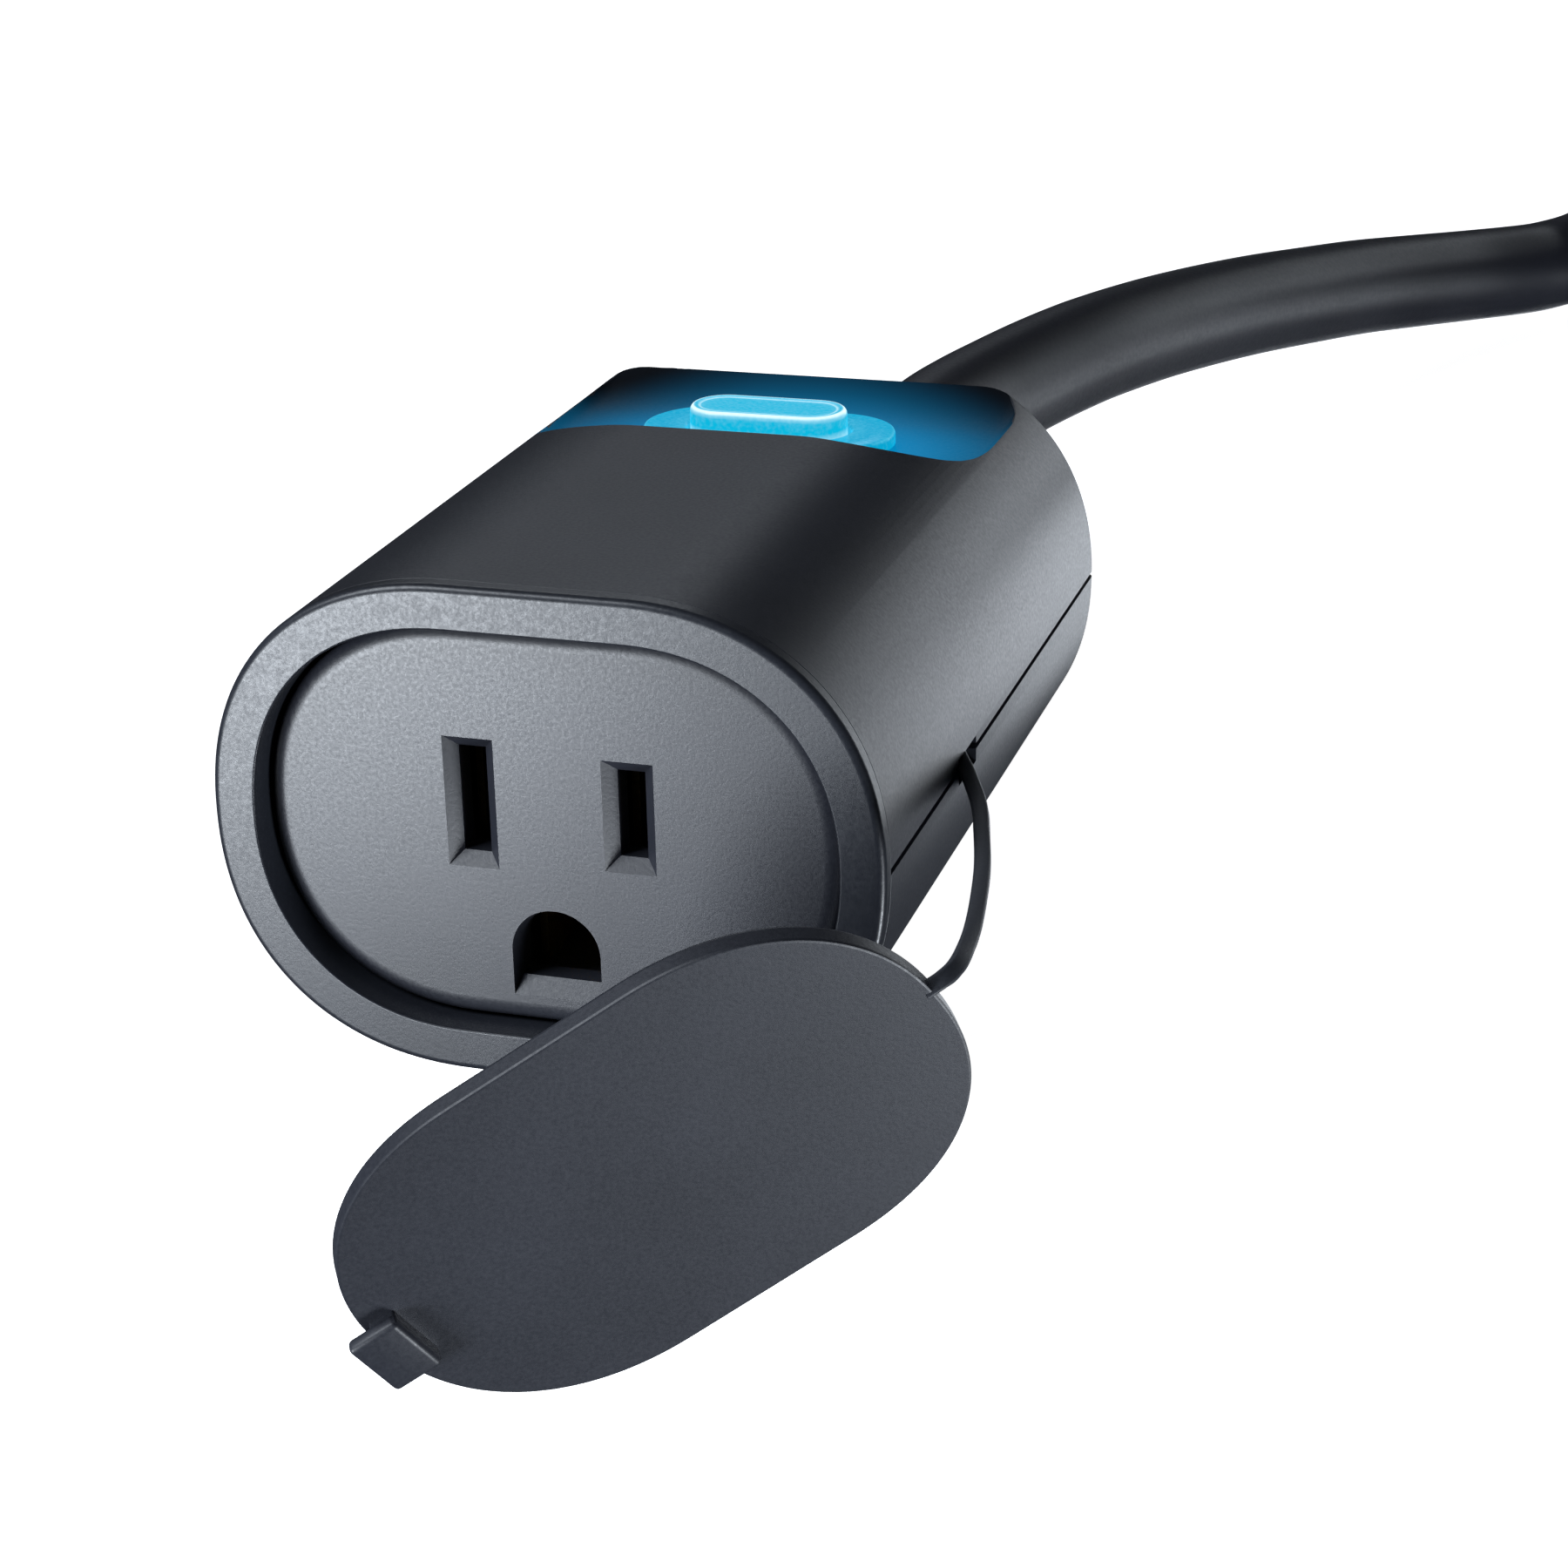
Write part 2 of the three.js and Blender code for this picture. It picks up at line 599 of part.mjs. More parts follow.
const plugAxisHeight = plugHeight / 2 + 0.2;
const cordRoute = [
  [0, rear + bootLength + gap, middle], [0, 72, middle], [0.5, 80, middle], [1.8, 88, middle],
  [3.6, 96, 19.8], [5.6, 104, 19.8], [7.8, 112, 19.7], [10, 119.8, 19.4], [13.6, 132.2, 18.5],
  [17.6, 145, 17.3], [22.1, 158.1, 15.9], [26.9, 171, 14.3], [32.1, 183.8, 12.7], [37.7, 195.8, 11],
  [43.6, 207.3, 9.4], [50, 217.6, 8.2], [53.6, 223.2, 7.8], [58, 227.6, 8.5], [63.3, 232.1, 10.7],
  [68.8, 236.8, 13], [74.4, 241.5, plugAxisHeight], [77.6, 244.2, plugAxisHeight],
];

function makeCord() {
  addPiece('power_cord', tube(cordRoute, cordRadius, 40, 12), 'cord');
}

// The plug is drawn along +X from the cord's end and turned to the way the cord is heading.
function makeLeadPlug() {
  const [lastX, lastY, lastZ] = cordRoute[cordRoute.length - 1];
  const [beforeX, beforeY] = cordRoute[cordRoute.length - 2];
  const lead = new THREE.Group();
  lead.position.set(lastX, lastY, lastZ);
  lead.rotation.z = Math.atan2(lastY - beforeY, lastX - beforeX);
  plug.add(lead);

  const boot = new THREE.LatheGeometry([[0, 0], [cordRadius + 1.1, 0],
    [cordRadius + 3.4, plugBootLength], [0, plugBootLength]]
    .map(([radius, x]) => new THREE.Vector2(radius, x)), 24);
  boot.rotateZ(-Math.PI / 2);
  boot.translate(gap * 2, 0, 0);
  addPiece('plug_strain_relief', toSolid(boot), 'cord', lead);

  const bodyStart = gap * 3 + plugBootLength;
  const bodyEnd = bodyStart + plugLength;
  addPiece('plug_body', alongX(roundedBox(plugWidth, plugHeight, 9), bodyStart, bodyEnd), 'shell', lead);
  const bladeZ = 4.6;
  for (const [name, y, height] of [['plug_line_blade', slotSpacing / 2, 6.35],
    ['plug_neutral_blade', -slotSpacing / 2, 7.9]]) {
    addPiece(name, box([bodyEnd + gap, bodyEnd + gap + bladeLength],
      [y - bladeThickness / 2, y + bladeThickness / 2],
      [bladeZ - height / 2, bladeZ + height / 2]), 'metal', lead);
  }
  const pin = new THREE.LatheGeometry([[0, 0], [groundPinRadius, 0], [groundPinRadius, groundPinLength - 2],
    [groundPinRadius - 0.8, groundPinLength - 0.5], [0, groundPinLength]]
    .map(([radius, x]) => new THREE.Vector2(radius, x)), 20);
  pin.rotateZ(-Math.PI / 2);
  pin.translate(bodyEnd + gap, 0, bladeZ - groundDrop);
  addPiece('plug_ground_pin', toSolid(pin), 'metal', lead);
}

const foldJoint = new THREE.Vector2(side + foldFromSide, front + foldFromFront);
const capJoint = new THREE.Vector2(side + capJointFromSide, front + capJointFromFront);

// A flat strap standing on edge, drawn as a plan outline of even thickness.
function ribbon(points) {
  const path = new THREE.SplineCurve(points);
  const steps = 14;
  const left = [];
  const right = [];
  for (let step = 0; step <= steps; step += 1) {
    const place = path.getPoint(step / steps);
    const along = path.getTangent(step / steps);
    const across = new THREE.Vector2(-along.y, along.x).multiplyScalar(tetherThickness / 2);
    left.push(place.clone().add(across));
    right.unshift(place.clone().sub(across));
  }
  const shape = new THREE.Shape([...right.reverse(), ...left.reverse()]);
  return alongZ(shape, middle - tetherWidth / 2, middle + tetherWidth / 2);
}

function makeTether() {
  const mouth = front + tetherFromFront;
  const towardFold = foldJoint.clone().sub(new THREE.Vector2(side + 7.8, front + 1.6)).setLength(foldGap);
  const strap = ribbon([
    new THREE.Vector2(side - wall - 0.9, mouth + 3),
    new THREE.Vector2(side - 1.1, mouth + 1.5),
    new THREE.Vector2(side + 0.1, mouth - 0.1),
    new THREE.Vector2(side + 2.1, mouth - 4.8),
    new THREE.Vector2(side + 4.3, mouth - 10.3),
    new THREE.Vector2(side + 6.4, mouth - 15.6),
    new THREE.Vector2(side + 7.8, mouth - 21.3),
    foldJoint.clone().sub(towardFold),
  ]);
  const head = box([side - wall - 2.3, side - wall - 0.7], [mouth + 0.3, mouth + 5.9],
    [middle - 2.4, middle + 2.4]);
  addPiece('tether_strap', strap.add(head), 'tether');

  const span = capJoint.clone().sub(foldJoint);
  const tip = new THREE.Group();
  tip.position.set(foldJoint.x, foldJoint.y, middle);
  tip.rotation.z = span.angle();
  plug.add(tip);
  const half = tetherThickness / 2;
  addPiece('tether_strap_tip', box([foldGap, span.length() - hingeGap], [-half, half],
    [-tetherWidth / 2, tetherWidth / 2]), 'tether', tip);
}

// The cap hangs open on its tether; its group turns about the joint at the tether's end.
function makeDustCap() {
  const hung = new THREE.Group();
  hung.position.set(capJoint.x, capJoint.y, middle + 0.23);
  hung.rotation.set(...capHangAngles.map(THREE.MathUtils.degToRad));
  plug.add(hung);

  const half = capThickness / 2;
  const edge = -tetherReach;
  const centreX = edge - (side - rimWidth - gap);
  const disc = alongY(sectionOutline(rimWidth + gap, 0), -half, half).translate([centreX, 0, 0]);
  const tabOuter = edge - 2 * (side - rimWidth - gap) - tabOverhang;
  const tabSpan = [-tabWidth / 2, tabWidth / 2];
  const tab = box([tabOuter, tabOuter + tabLength], [-half - tabHeight, -half - capInset - gap], tabSpan)
    .add(box([tabOuter + tabOverhang + 0.6, tabOuter + tabLength], [-half - tabHeight, 0], tabSpan));
  addPiece('dust_cap', disc.add(tab), 'cap', hung);

  const thick = tetherThickness / 2;
  addPiece('tether_lug', box([edge + gap, -hingeGap], [-thick, thick],
    [-tetherWidth / 2, tetherWidth / 2]), 'tether', hung);
}

makeBezel();
makeSocketFace();
makeContacts();
makeUpperShell();
makeLowerShell();
makeHousingScrews();
makeButton();
makeButtonBoard();
makeMainBoard();
makeBoardParts();
makeWires();
makeCordEntry();
makeStrainRelief();
makeCord();
makeLeadPlug();
makeTether();
makeDustCap();

export default plug;
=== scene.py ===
import math

import bmesh
import bpy
import numpy as np
from mathutils import Matrix, Vector


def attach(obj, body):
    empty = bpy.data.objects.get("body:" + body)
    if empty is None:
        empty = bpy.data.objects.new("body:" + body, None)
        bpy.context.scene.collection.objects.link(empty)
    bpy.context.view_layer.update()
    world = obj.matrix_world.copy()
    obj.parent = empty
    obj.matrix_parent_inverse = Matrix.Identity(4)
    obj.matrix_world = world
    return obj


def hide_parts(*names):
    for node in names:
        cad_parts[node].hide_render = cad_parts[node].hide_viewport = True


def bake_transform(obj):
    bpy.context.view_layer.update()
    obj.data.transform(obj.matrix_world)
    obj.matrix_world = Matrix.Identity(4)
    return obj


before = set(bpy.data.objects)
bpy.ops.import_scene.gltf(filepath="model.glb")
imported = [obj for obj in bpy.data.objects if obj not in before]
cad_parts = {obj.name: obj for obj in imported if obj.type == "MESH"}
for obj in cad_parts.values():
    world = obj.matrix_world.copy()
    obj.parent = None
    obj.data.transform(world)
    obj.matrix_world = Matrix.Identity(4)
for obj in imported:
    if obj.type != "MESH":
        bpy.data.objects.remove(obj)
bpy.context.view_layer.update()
MM = 0.001


# ---------------------------------------------------------------- camera
# A long portrait lens stands in front of the socket, to its right and above it,
# and leans very slightly, so the far end of the housing shows above the near one.
camera = bpy.data.objects.new("camera", bpy.data.cameras.new("camera"))
camera.data.lens = 73.09
camera.data.sensor_width = 36.0
camera.data.clip_start = 0.01
camera_right = Vector((0.95603, 0.29256, -0.02044))
camera_up = Vector((-0.09217, 0.36590, 0.92608))
camera_back = Vector((0.27841, -0.88347, 0.37678))
camera_turn = Matrix((camera_right, camera_up, camera_back)).transposed()
camera.matrix_world = Matrix.Translation(Vector((83.274, -239.568, 113.215)) * MM) @ camera_turn.to_4x4()
bpy.context.scene.collection.objects.link(camera)
bpy.context.scene.camera = camera


# ---------------------------------------------------------------- power cord
# A round three-core outdoor cord, 12.5 mm across, with an extruded PVC jacket.
# It leaves the boot level, sinks to the surface under its own weight and turns into the plug's boot.
def add_node(tree, kind, settings=None, inputs=None):
    made = tree.nodes.new(kind)
    for name, value in (settings or {}).items():
        setattr(made, name, value)
    for key, value in (inputs or {}).items():
        if isinstance(value, bpy.types.NodeSocket):
            tree.links.new(value, made.inputs[key])
        else:
            made.inputs[key].default_value = value
    return made


def linear(hex_colour):
    channels = [int(hex_colour[i:i + 2], 16) / 255 for i in (1, 3, 5)]
    return (*[c / 12.92 if c <= 0.04045 else ((c + 0.055) / 1.055) ** 2.4 for c in channels], 1.0)


def moulded(name, dark, light, roughness, grain, depth, metallic=0.0):
    """A moulded or extruded finish: faint colour drift, grain in the roughness and in the bump, sizes in mm."""
    made = bpy.data.materials.new(name)
    made.use_nodes = True
    tree = made.node_tree
    tree.nodes.clear()
    place = add_node(tree, "ShaderNodeTexCoord").outputs["Object"]
    drift = add_node(tree, "ShaderNodeTexNoise", inputs={"Vector": place, "Scale": 60.0, "Detail": 3.0})
    fine = add_node(tree, "ShaderNodeTexNoise",
                    inputs={"Vector": place, "Scale": 1 / (grain * MM), "Detail": 2.0, "Roughness": 0.6})
    blend = add_node(tree, "ShaderNodeMath", {"operation": "MULTIPLY_ADD"},
                     {0: fine.outputs["Fac"], 1: 0.55, 2: drift.outputs["Fac"]})
    share = add_node(tree, "ShaderNodeMapRange",
                     inputs={"Value": blend.outputs[0], "From Min": 0.45, "From Max": 1.1})
    colour = add_node(tree, "ShaderNodeMix", {"data_type": "RGBA"},
                      {"Factor": share.outputs[0], 6: linear(dark), 7: linear(light)})
    sheen = add_node(tree, "ShaderNodeMapRange",
                     inputs={"Value": fine.outputs["Fac"], "From Min": 0.3, "From Max": 0.7,
                             "To Min": roughness - 0.05, "To Max": roughness + 0.05})
    bump = add_node(tree, "ShaderNodeBump",
                    inputs={"Height": fine.outputs["Fac"], "Strength": 0.5, "Distance": depth * MM})
    shader = add_node(tree, "ShaderNodeBsdfPrincipled",
                      inputs={"Base Color": colour.outputs[2], "Roughness": sheen.outputs[0],
                              "Normal": bump.outputs[0], "IOR": 1.5, "Metallic": metallic})
    add_node(tree, "ShaderNodeOutputMaterial", inputs={"Surface": shader.outputs[0]})
    return made


def smooth_line(points, steps):
    """Even samples on a smooth curve through points, in metres."""
    known = np.array(points, float) * MM
    ends = np.vstack([2 * known[0] - known[1], known, 2 * known[-1] - known[-2]])
    out = []
    for i in range(1, len(ends) - 2):
        p0, p1, p2, p3 = ends[i - 1:i + 3]
        for t in np.arange(steps) / steps:
            out.append(0.5 * (2 * p1 + (p2 - p0) * t + (2 * p0 - 5 * p1 + 4 * p2 - p3) * t ** 2
                              + (3 * p1 - p0 - 3 * p2 + p3) * t ** 3))
    out.append(ends[-2])
    return np.array(out)


cord_width, cord_height = 12.5, 19.8
cord_route = [
    (0, 66.8, 19.8), (0, 72, 19.8), (0.5, 80, 19.8), (1.8, 88, 19.8), (3.6, 96, 19.8), (5.6, 104, 19.8),
    (7.8, 112, 19.7), (10, 119.8, 19.4), (13.6, 132.2, 18.5), (17.6, 145, 17.3), (22.1, 158.1, 15.9),
    (26.9, 171, 14.3), (32.1, 183.8, 12.7), (37.7, 195.8, 11), (43.6, 207.3, 9.4), (50, 217.6, 8.2),
    (53.6, 223.2, 7.8), (58, 227.6, 8.5), (63.3, 232.1, 10.7), (68.8, 236.8, 13), (74.4, 241.5, 13.9),
    (77.6, 244.2, 13.9)]
cord_curve = bpy.data.curves.new("cord_jacket", "CURVE")
cord_curve.dimensions = "3D"
cord_curve.bevel_depth = cord_width / 2 * MM
cord_curve.bevel_resolution = 10
cord_curve.use_fill_caps = True
cord_points = smooth_line(cord_route, 6)
cord_spline = cord_curve.splines.new("POLY")
cord_spline.points.add(len(cord_points) - 1)
cord_spline.points.foreach_set("co", np.hstack([cord_points, np.ones((len(cord_points), 1))]).ravel())
cord_spline.use_smooth = True
cord = bpy.data.objects.new("cord_jacket", cord_curve)
bpy.context.scene.collection.objects.link(cord)
# Extruded PVC: smooth satin, a little darker than the housing.
pvc = moulded("extruded_pvc_jacket", "#1b1c24", "#23252e", 0.42, 0.5, 0.004)
cord.data.materials.append(pvc)
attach(cord, "housing")
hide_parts("power_cord")


# ---------------------------------------------------------------- boots
# Two tapered boots of soft PVC, moulded over the cord: one where it leaves the housing, one at the plug.
# Shallow grooves round each let it bend without creasing.
def mesh_piece(name, vertices, faces, material, angle=35.0):
    mesh = bpy.data.meshes.new(name)
    mesh.from_pydata([tuple(v) for v in vertices], [], [tuple(f) for f in faces])
    tidy = bmesh.new()
    tidy.from_mesh(mesh)
    bmesh.ops.remove_doubles(tidy, verts=tidy.verts, dist=1e-7)
    bmesh.ops.recalc_face_normals(tidy, faces=tidy.faces)
    tidy.to_mesh(mesh)
    tidy.free()
    made = bpy.data.objects.new(name, mesh)
    bpy.context.scene.collection.objects.link(made)
    if material:
        mesh.materials.append(material)
    smooth(made, angle)
    return made


def smooth(piece, angle=35.0):
    piece.data.polygons.foreach_set("use_smooth", [True] * len(piece.data.polygons))
    piece.data.set_sharp_from_angle(angle=math.radians(angle))


def loft(name, rings, material=None, closed=False, angle=35.0):
    """Skins closed rings of equal length. closed joins the last ring to the first; else both ends are capped."""
    count = len(rings[0])
    vertices = [v for ring in rings for v in ring]
    faces = []
    spans = len(rings) if closed else len(rings) - 1
    for r in range(spans):
        a, b = r * count, ((r + 1) % len(rings)) * count
        for i in range(count):
            j = (i + 1) % count
            faces.append((a + i, a + j, b + j, b + i))
    if not closed:
        faces.append(tuple(range(count)))
        faces.append(tuple(range((len(rings) - 1) * count, len(rings) * count)))
    return mesh_piece(name, vertices, faces, material, angle)


def turned(name, profile, place, material, sides=72):
    """Spins (radius, along) points in mm about an axis; place turns (side, along, up) into the row frame."""
    rings = []
    for radius, along in profile:
        turn = np.arange(sides) / sides * 2 * math.pi
        rings.append([place(radius * math.cos(t), along, radius * math.sin(t)) for t in turn])
    return loft(name, rings, material)


def grooved(start, radius, end, tip, grooves, depth):
    """A taper with shallow rounded grooves."""
    out = []
    for g in range(grooves):
        for share, low in ((0.0, 0), (0.42, 0), (0.5, 0.6), (0.6, 1), (0.75, 1), (0.85, 0.6), (0.93, 0)):
            t = (g + share) / grooves
            out.append((radius + (tip - radius) * t - low * depth, start + (end - start) * t))
    return out + [(tip, end - 0.4), (tip - 0.15, end - 0.12), (tip - 0.4, end)]


boot_soft = moulded("soft_pvc_boot", "#1d1e26", "#262831", 0.5, 0.4, 0.006)
boot_profile = ([(0.2, 31.2), (10.3, 31.2), (10.5, 31.4), (10.5, 34.0), (10.3, 34.2), (8.5, 34.2), (8.5, 36.8),
                 (9.9, 36.8), (10.25, 36.95), (10.4, 37.3), (10.4, 38.6), (10.2, 39.0)]
                + grooved(39.6, 9.9, 66.5, 7.85, 7, 0.55) + [(0.2, 66.5)])
boot = turned("cord_boot", boot_profile, lambda a, y, b: (a * MM, y * MM, (cord_height + b) * MM),
              boot_soft)
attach(boot, "housing")
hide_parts("strain_relief")

(before_x, before_y, _), (last_x, last_y, _) = cord_route[-2:]
plug_turn = math.atan2(last_y - before_y, last_x - before_x)
plug_place = Matrix.Translation(Vector(cord_route[-1]) * MM) @ Matrix.Rotation(plug_turn, 4, "Z")


def on_plug(x, y, z):
    """From millimetres along the plug, across it and up to the row frame."""
    return tuple(plug_place @ (Vector((x, y, z)) * MM))


plug_boot_profile = [(0.2, 0.6), (7.2, 0.6)] + grooved(1.2, 7.5, 13.4, 9.6, 4, 0.5) + [(0.2, 14.0)]
plug_boot = turned("plug_boot", plug_boot_profile, lambda a, x, b: on_plug(x, a, b), boot_soft)
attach(plug_boot, "housing")
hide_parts("plug_strain_relief")


# ---------------------------------------------------------------- plug on the lead
# A moulded grounded plug. Its body is one block of PVC with rounded corners and finger ridges on both sides.
# Two brass blades with a hole near the tip and a round brass pin stand out of it.
plug_half_width, plug_half_height, plug_corner = 17.0, 13.7, 9.0


def rounded_ring(x, inset):
    sides = 10
    half_y, half_z, corner = plug_half_width - inset, plug_half_height - inset, max(plug_corner - inset, 1)
    ring = []
    for quarter, (sy, sz) in enumerate(((1, 1), (-1, 1), (-1, -1), (1, -1))):
        for s in range(sides + 1):
            t = (quarter + s / sides) * math.pi / 2
            ring.append(on_plug(x, sy * (half_y - corner) + corner * math.cos(t),
                                sz * (half_z - corner) + corner * math.sin(t)))
    return ring


plug_back, plug_face = 14.3, 41.8
plug_profile = [(plug_back, 3.4), (plug_back + 0.3, 2.4), (plug_back + 1.0, 1.2), (plug_back + 2.2, 0.6),
                (plug_back + 4.0, 0.1), (plug_back + 6.5, 0.0), (plug_face - 3.0, 0.0), (plug_face - 1.6, 0.15),
                (plug_face - 0.7, 0.5), (plug_face - 0.2, 1.0), (plug_face, 1.6)]
plug_body = loft("plug_body_moulded", [rounded_ring(x, inset) for x, inset in plug_profile])
plug_skin = moulded("moulded_pvc_plug", "#202129", "#2a2c34", 0.5, 0.35, 0.006)
plug_body.data.materials.append(plug_skin)
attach(plug_body, "housing")
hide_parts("plug_body")


def grow_nodes(name, build, material):
    """Runs a Geometry Nodes tree once on an empty mesh and keeps the plain result."""
    tree = bpy.data.node_groups.new(name, "GeometryNodeTree")
    tree.interface.new_socket("Geometry", in_out="OUTPUT", socket_type="NodeSocketGeometry")
    values = build(tree, material)
    holder = bpy.data.objects.new(name + "_maker", bpy.data.meshes.new(name + "_maker"))
    bpy.context.scene.collection.objects.link(holder)
    modifier = holder.modifiers.new("nodes", "NODES")
    modifier.node_group = tree
    for item in tree.interface.items_tree:
        if item.in_out == "INPUT" and item.name in values:
            modifier[item.identifier] = values[item.name]
    bpy.context.view_layer.update()
    depsgraph = bpy.context.evaluated_depsgraph_get()
    mesh = bpy.data.meshes.new_from_object(holder.evaluated_get(depsgraph), depsgraph=depsgraph)
    mesh.name = name
    made = bpy.data.objects.new(name, mesh)
    bpy.context.scene.collection.objects.link(made)
    bpy.data.objects.remove(holder)
    smooth(made)
    return made


def named_inputs(tree, sizes):
    for name, value in sizes.items():
        kind = "NodeSocketInt" if isinstance(value, int) else "NodeSocketFloat"
        tree.interface.new_socket(name, in_out="INPUT", socket_type=kind)
    return add_node(tree, "NodeGroupInput").outputs


def close_tree(tree, geometry, material):
    real = add_node(tree, "GeometryNodeRealizeInstances", inputs={"Geometry": geometry})
    painted = add_node(tree, "GeometryNodeSetMaterial", inputs={"Geometry": real.outputs[0], "Material": material})
    add_node(tree, "NodeGroupOutput", inputs={0: painted.outputs[0]})


def grip_ridges(tree, material):
    sizes = {"Ridges": 6, "Pitch": 2.8 * MM, "Radius": 0.45 * MM, "Length": 12 * MM,
             "Half width": plug_half_width * MM, "First": 22 * MM}
    given = named_inputs(tree, sizes)
    start = add_node(tree, "ShaderNodeCombineXYZ", inputs={"X": given["First"]})
    step = add_node(tree, "ShaderNodeCombineXYZ", inputs={"X": given["Pitch"]})
    row = add_node(tree, "GeometryNodeMeshLine",
                   inputs={"Count": given["Ridges"], "Start Location": start.outputs[0], "Offset": step.outputs[0]})
    rib = add_node(tree, "GeometryNodeMeshCylinder",
                   inputs={"Vertices": 16, "Radius": given["Radius"], "Depth": given["Length"]})
    rows = []
    for way in (1.0, -1.0):
        reach = add_node(tree, "ShaderNodeMath", {"operation": "MULTIPLY"}, {0: given["Half width"], 1: way})
        shift = add_node(tree, "ShaderNodeCombineXYZ", inputs={"Y": reach.outputs[0]})
        moved = add_node(tree, "GeometryNodeTransform",
                         inputs={"Geometry": row.outputs[0], "Translation": shift.outputs[0]})
        rows.append(add_node(tree, "GeometryNodeInstanceOnPoints",
                             inputs={"Points": moved.outputs[0], "Instance": rib.outputs[0]}).outputs[0])
    joined = add_node(tree, "GeometryNodeJoinGeometry")
    for geometry in rows:
        tree.links.new(geometry, joined.inputs[0])
    close_tree(tree, joined.outputs[0], material)
    return sizes


ridges = grow_nodes("plug_grip_ridges", grip_ridges, plug_skin)
ridges.data.transform(plug_place)
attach(ridges, "housing")


def combine(target, cutter, how="DIFFERENCE", keep=False):
    """Cuts, joins or intersects two closed meshes and drops the second."""
    modifier = target.modifiers.new("cut", "BOOLEAN")
    modifier.operation = how
    modifier.solver = "EXACT"
    modifier.object = cutter
    bpy.context.view_layer.update()
    depsgraph = bpy.context.evaluated_depsgraph_get()
    result = bpy.data.meshes.new_from_object(target.evaluated_get(depsgraph), depsgraph=depsgraph)
    target.modifiers.clear()
    target.data = result
    if not keep:
        bpy.data.objects.remove(cutter)
    return target


def rod(name, centre, radius, low, high, axis="Z", sides=48):
    """A closed round bar along one axis, in mm; centre is its place in the other two."""
    ends = []
    for level in (low, high):
        ring = []
        for t in np.arange(sides) / sides * 2 * math.pi:
            a, b = centre[0] + radius * math.cos(t), centre[1] + radius * math.sin(t)
            ring.append(tuple(c * MM for c in {"Z": (a, b, level), "Y": (a, level, b), "X": (level, a, b)}[axis]))
        ends.append(ring)
    return loft(name, ends)


blade_brass = moulded("drawn_brass", "#b39a5c", "#cdb67c", 0.28, 0.6, 0.003, metallic=1.0)
blade_tip = plug_face + 17.7
blade_side, blade_rise, pin_drop = 6.35, 4.6, 7.3
blade_hole_radius = 1.6
for side, height, label in ((blade_side, 6.35, "line"), (-blade_side, 7.9, "neutral")):
    outline = [(plug_face + 0.3, -height / 2), (blade_tip - 1.6, -height / 2), (blade_tip - 0.5, -height / 2 + 0.7),
               (blade_tip, -height / 2 + 1.7), (blade_tip, height / 2 - 1.7), (blade_tip - 0.5, height / 2 - 0.7),
               (blade_tip - 1.6, height / 2), (plug_face + 0.3, height / 2)]
    rings = []
    for out, inset in ((-0.75, 0.25), (-0.5, 0.0), (0.5, 0.0), (0.75, 0.25)):
        rings.append([((x - (inset if x > plug_face + 1 else 0)) * MM, (side + out) * MM,
                       (blade_rise + z * (1 - inset / height)) * MM) for x, z in outline])
    blade = loft(f"{label}_blade", rings, blade_brass)
    hole = rod("blade_hole", (blade_tip - 4.2, blade_rise), blade_hole_radius, side - 3, side + 3, "Y")
    combine(blade, hole)
    blade.data.transform(plug_place)
    smooth(blade)
    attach(blade, "housing")
    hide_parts(f"plug_{label}_blade")
pin_start = plug_face + 0.3
pin_profile = [(0.05, pin_start), (2.4, pin_start), (2.4, pin_start + 17.6), (2.3, pin_start + 18.6),
               (1.9, pin_start + 19.7), (1.2, pin_start + 20.3), (0.05, pin_start + 20.5)]
ground_pin = turned("ground_pin", pin_profile, lambda a, x, b: on_plug(x, a, b - pin_drop), blade_brass, 40)
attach(ground_pin, "housing")
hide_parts("plug_ground_pin")


# ---------------------------------------------------------------- housing shells
# Two half shells of moulded ABS with a fine spark-eroded texture, closed by four screws from below.
# The upper one has a dished recess that runs out over the rear edge and holds the lit button.
body_half, body_rise, body_flat, body_middle = 26.8, 19.8, 6.7, 19.8
shell_front, shell_rear, shell_wall = -34.9, 36.5, 2.0
section_power, quarter_steps = 2.2, 40
screw_places = [(x, y) for x in (-19.5, 19.5) for y in (-24.0, 26.0)]
boss_radius, hole_radius, pocket_radius = 4.3, 1.7, 2.9
button_middle = 22.5


def section(inset, y, centre=body_middle):
    """The housing's cross-section at one y: flat top and underside, superellipse ends."""
    reach, rise = body_half - inset - body_flat, body_rise - inset
    ring = []
    for quarter in range(4):
        for s in range(quarter_steps + 1):
            t = (quarter + s / quarter_steps) * math.pi / 2
            c, n = math.cos(t), math.sin(t)
            side = 1 if quarter in (0, 3) else -1
            up = 1 if quarter < 2 else -1
            across = body_flat + reach * abs(c) ** (2 / section_power)
            ring.append((side * across, y, centre + up * rise * abs(n) ** (2 / section_power)))
    seen = []
    for p in ring:
        if not seen or np.linalg.norm(np.subtract(p, seen[-1])) > 1e-6:
            seen.append(p)
    if np.linalg.norm(np.subtract(seen[0], seen[-1])) < 1e-6:
        seen.pop()
    return [tuple(c * MM for c in p) for p in seen]


def slab(name, low, high):
    plan = ((low[0], low[1]), (high[0], low[1]), (high[0], high[1]), (low[0], high[1]))
    return loft(name, [[(x * MM, y * MM, z * MM) for x, y in plan] for z in (low[2], high[2])])


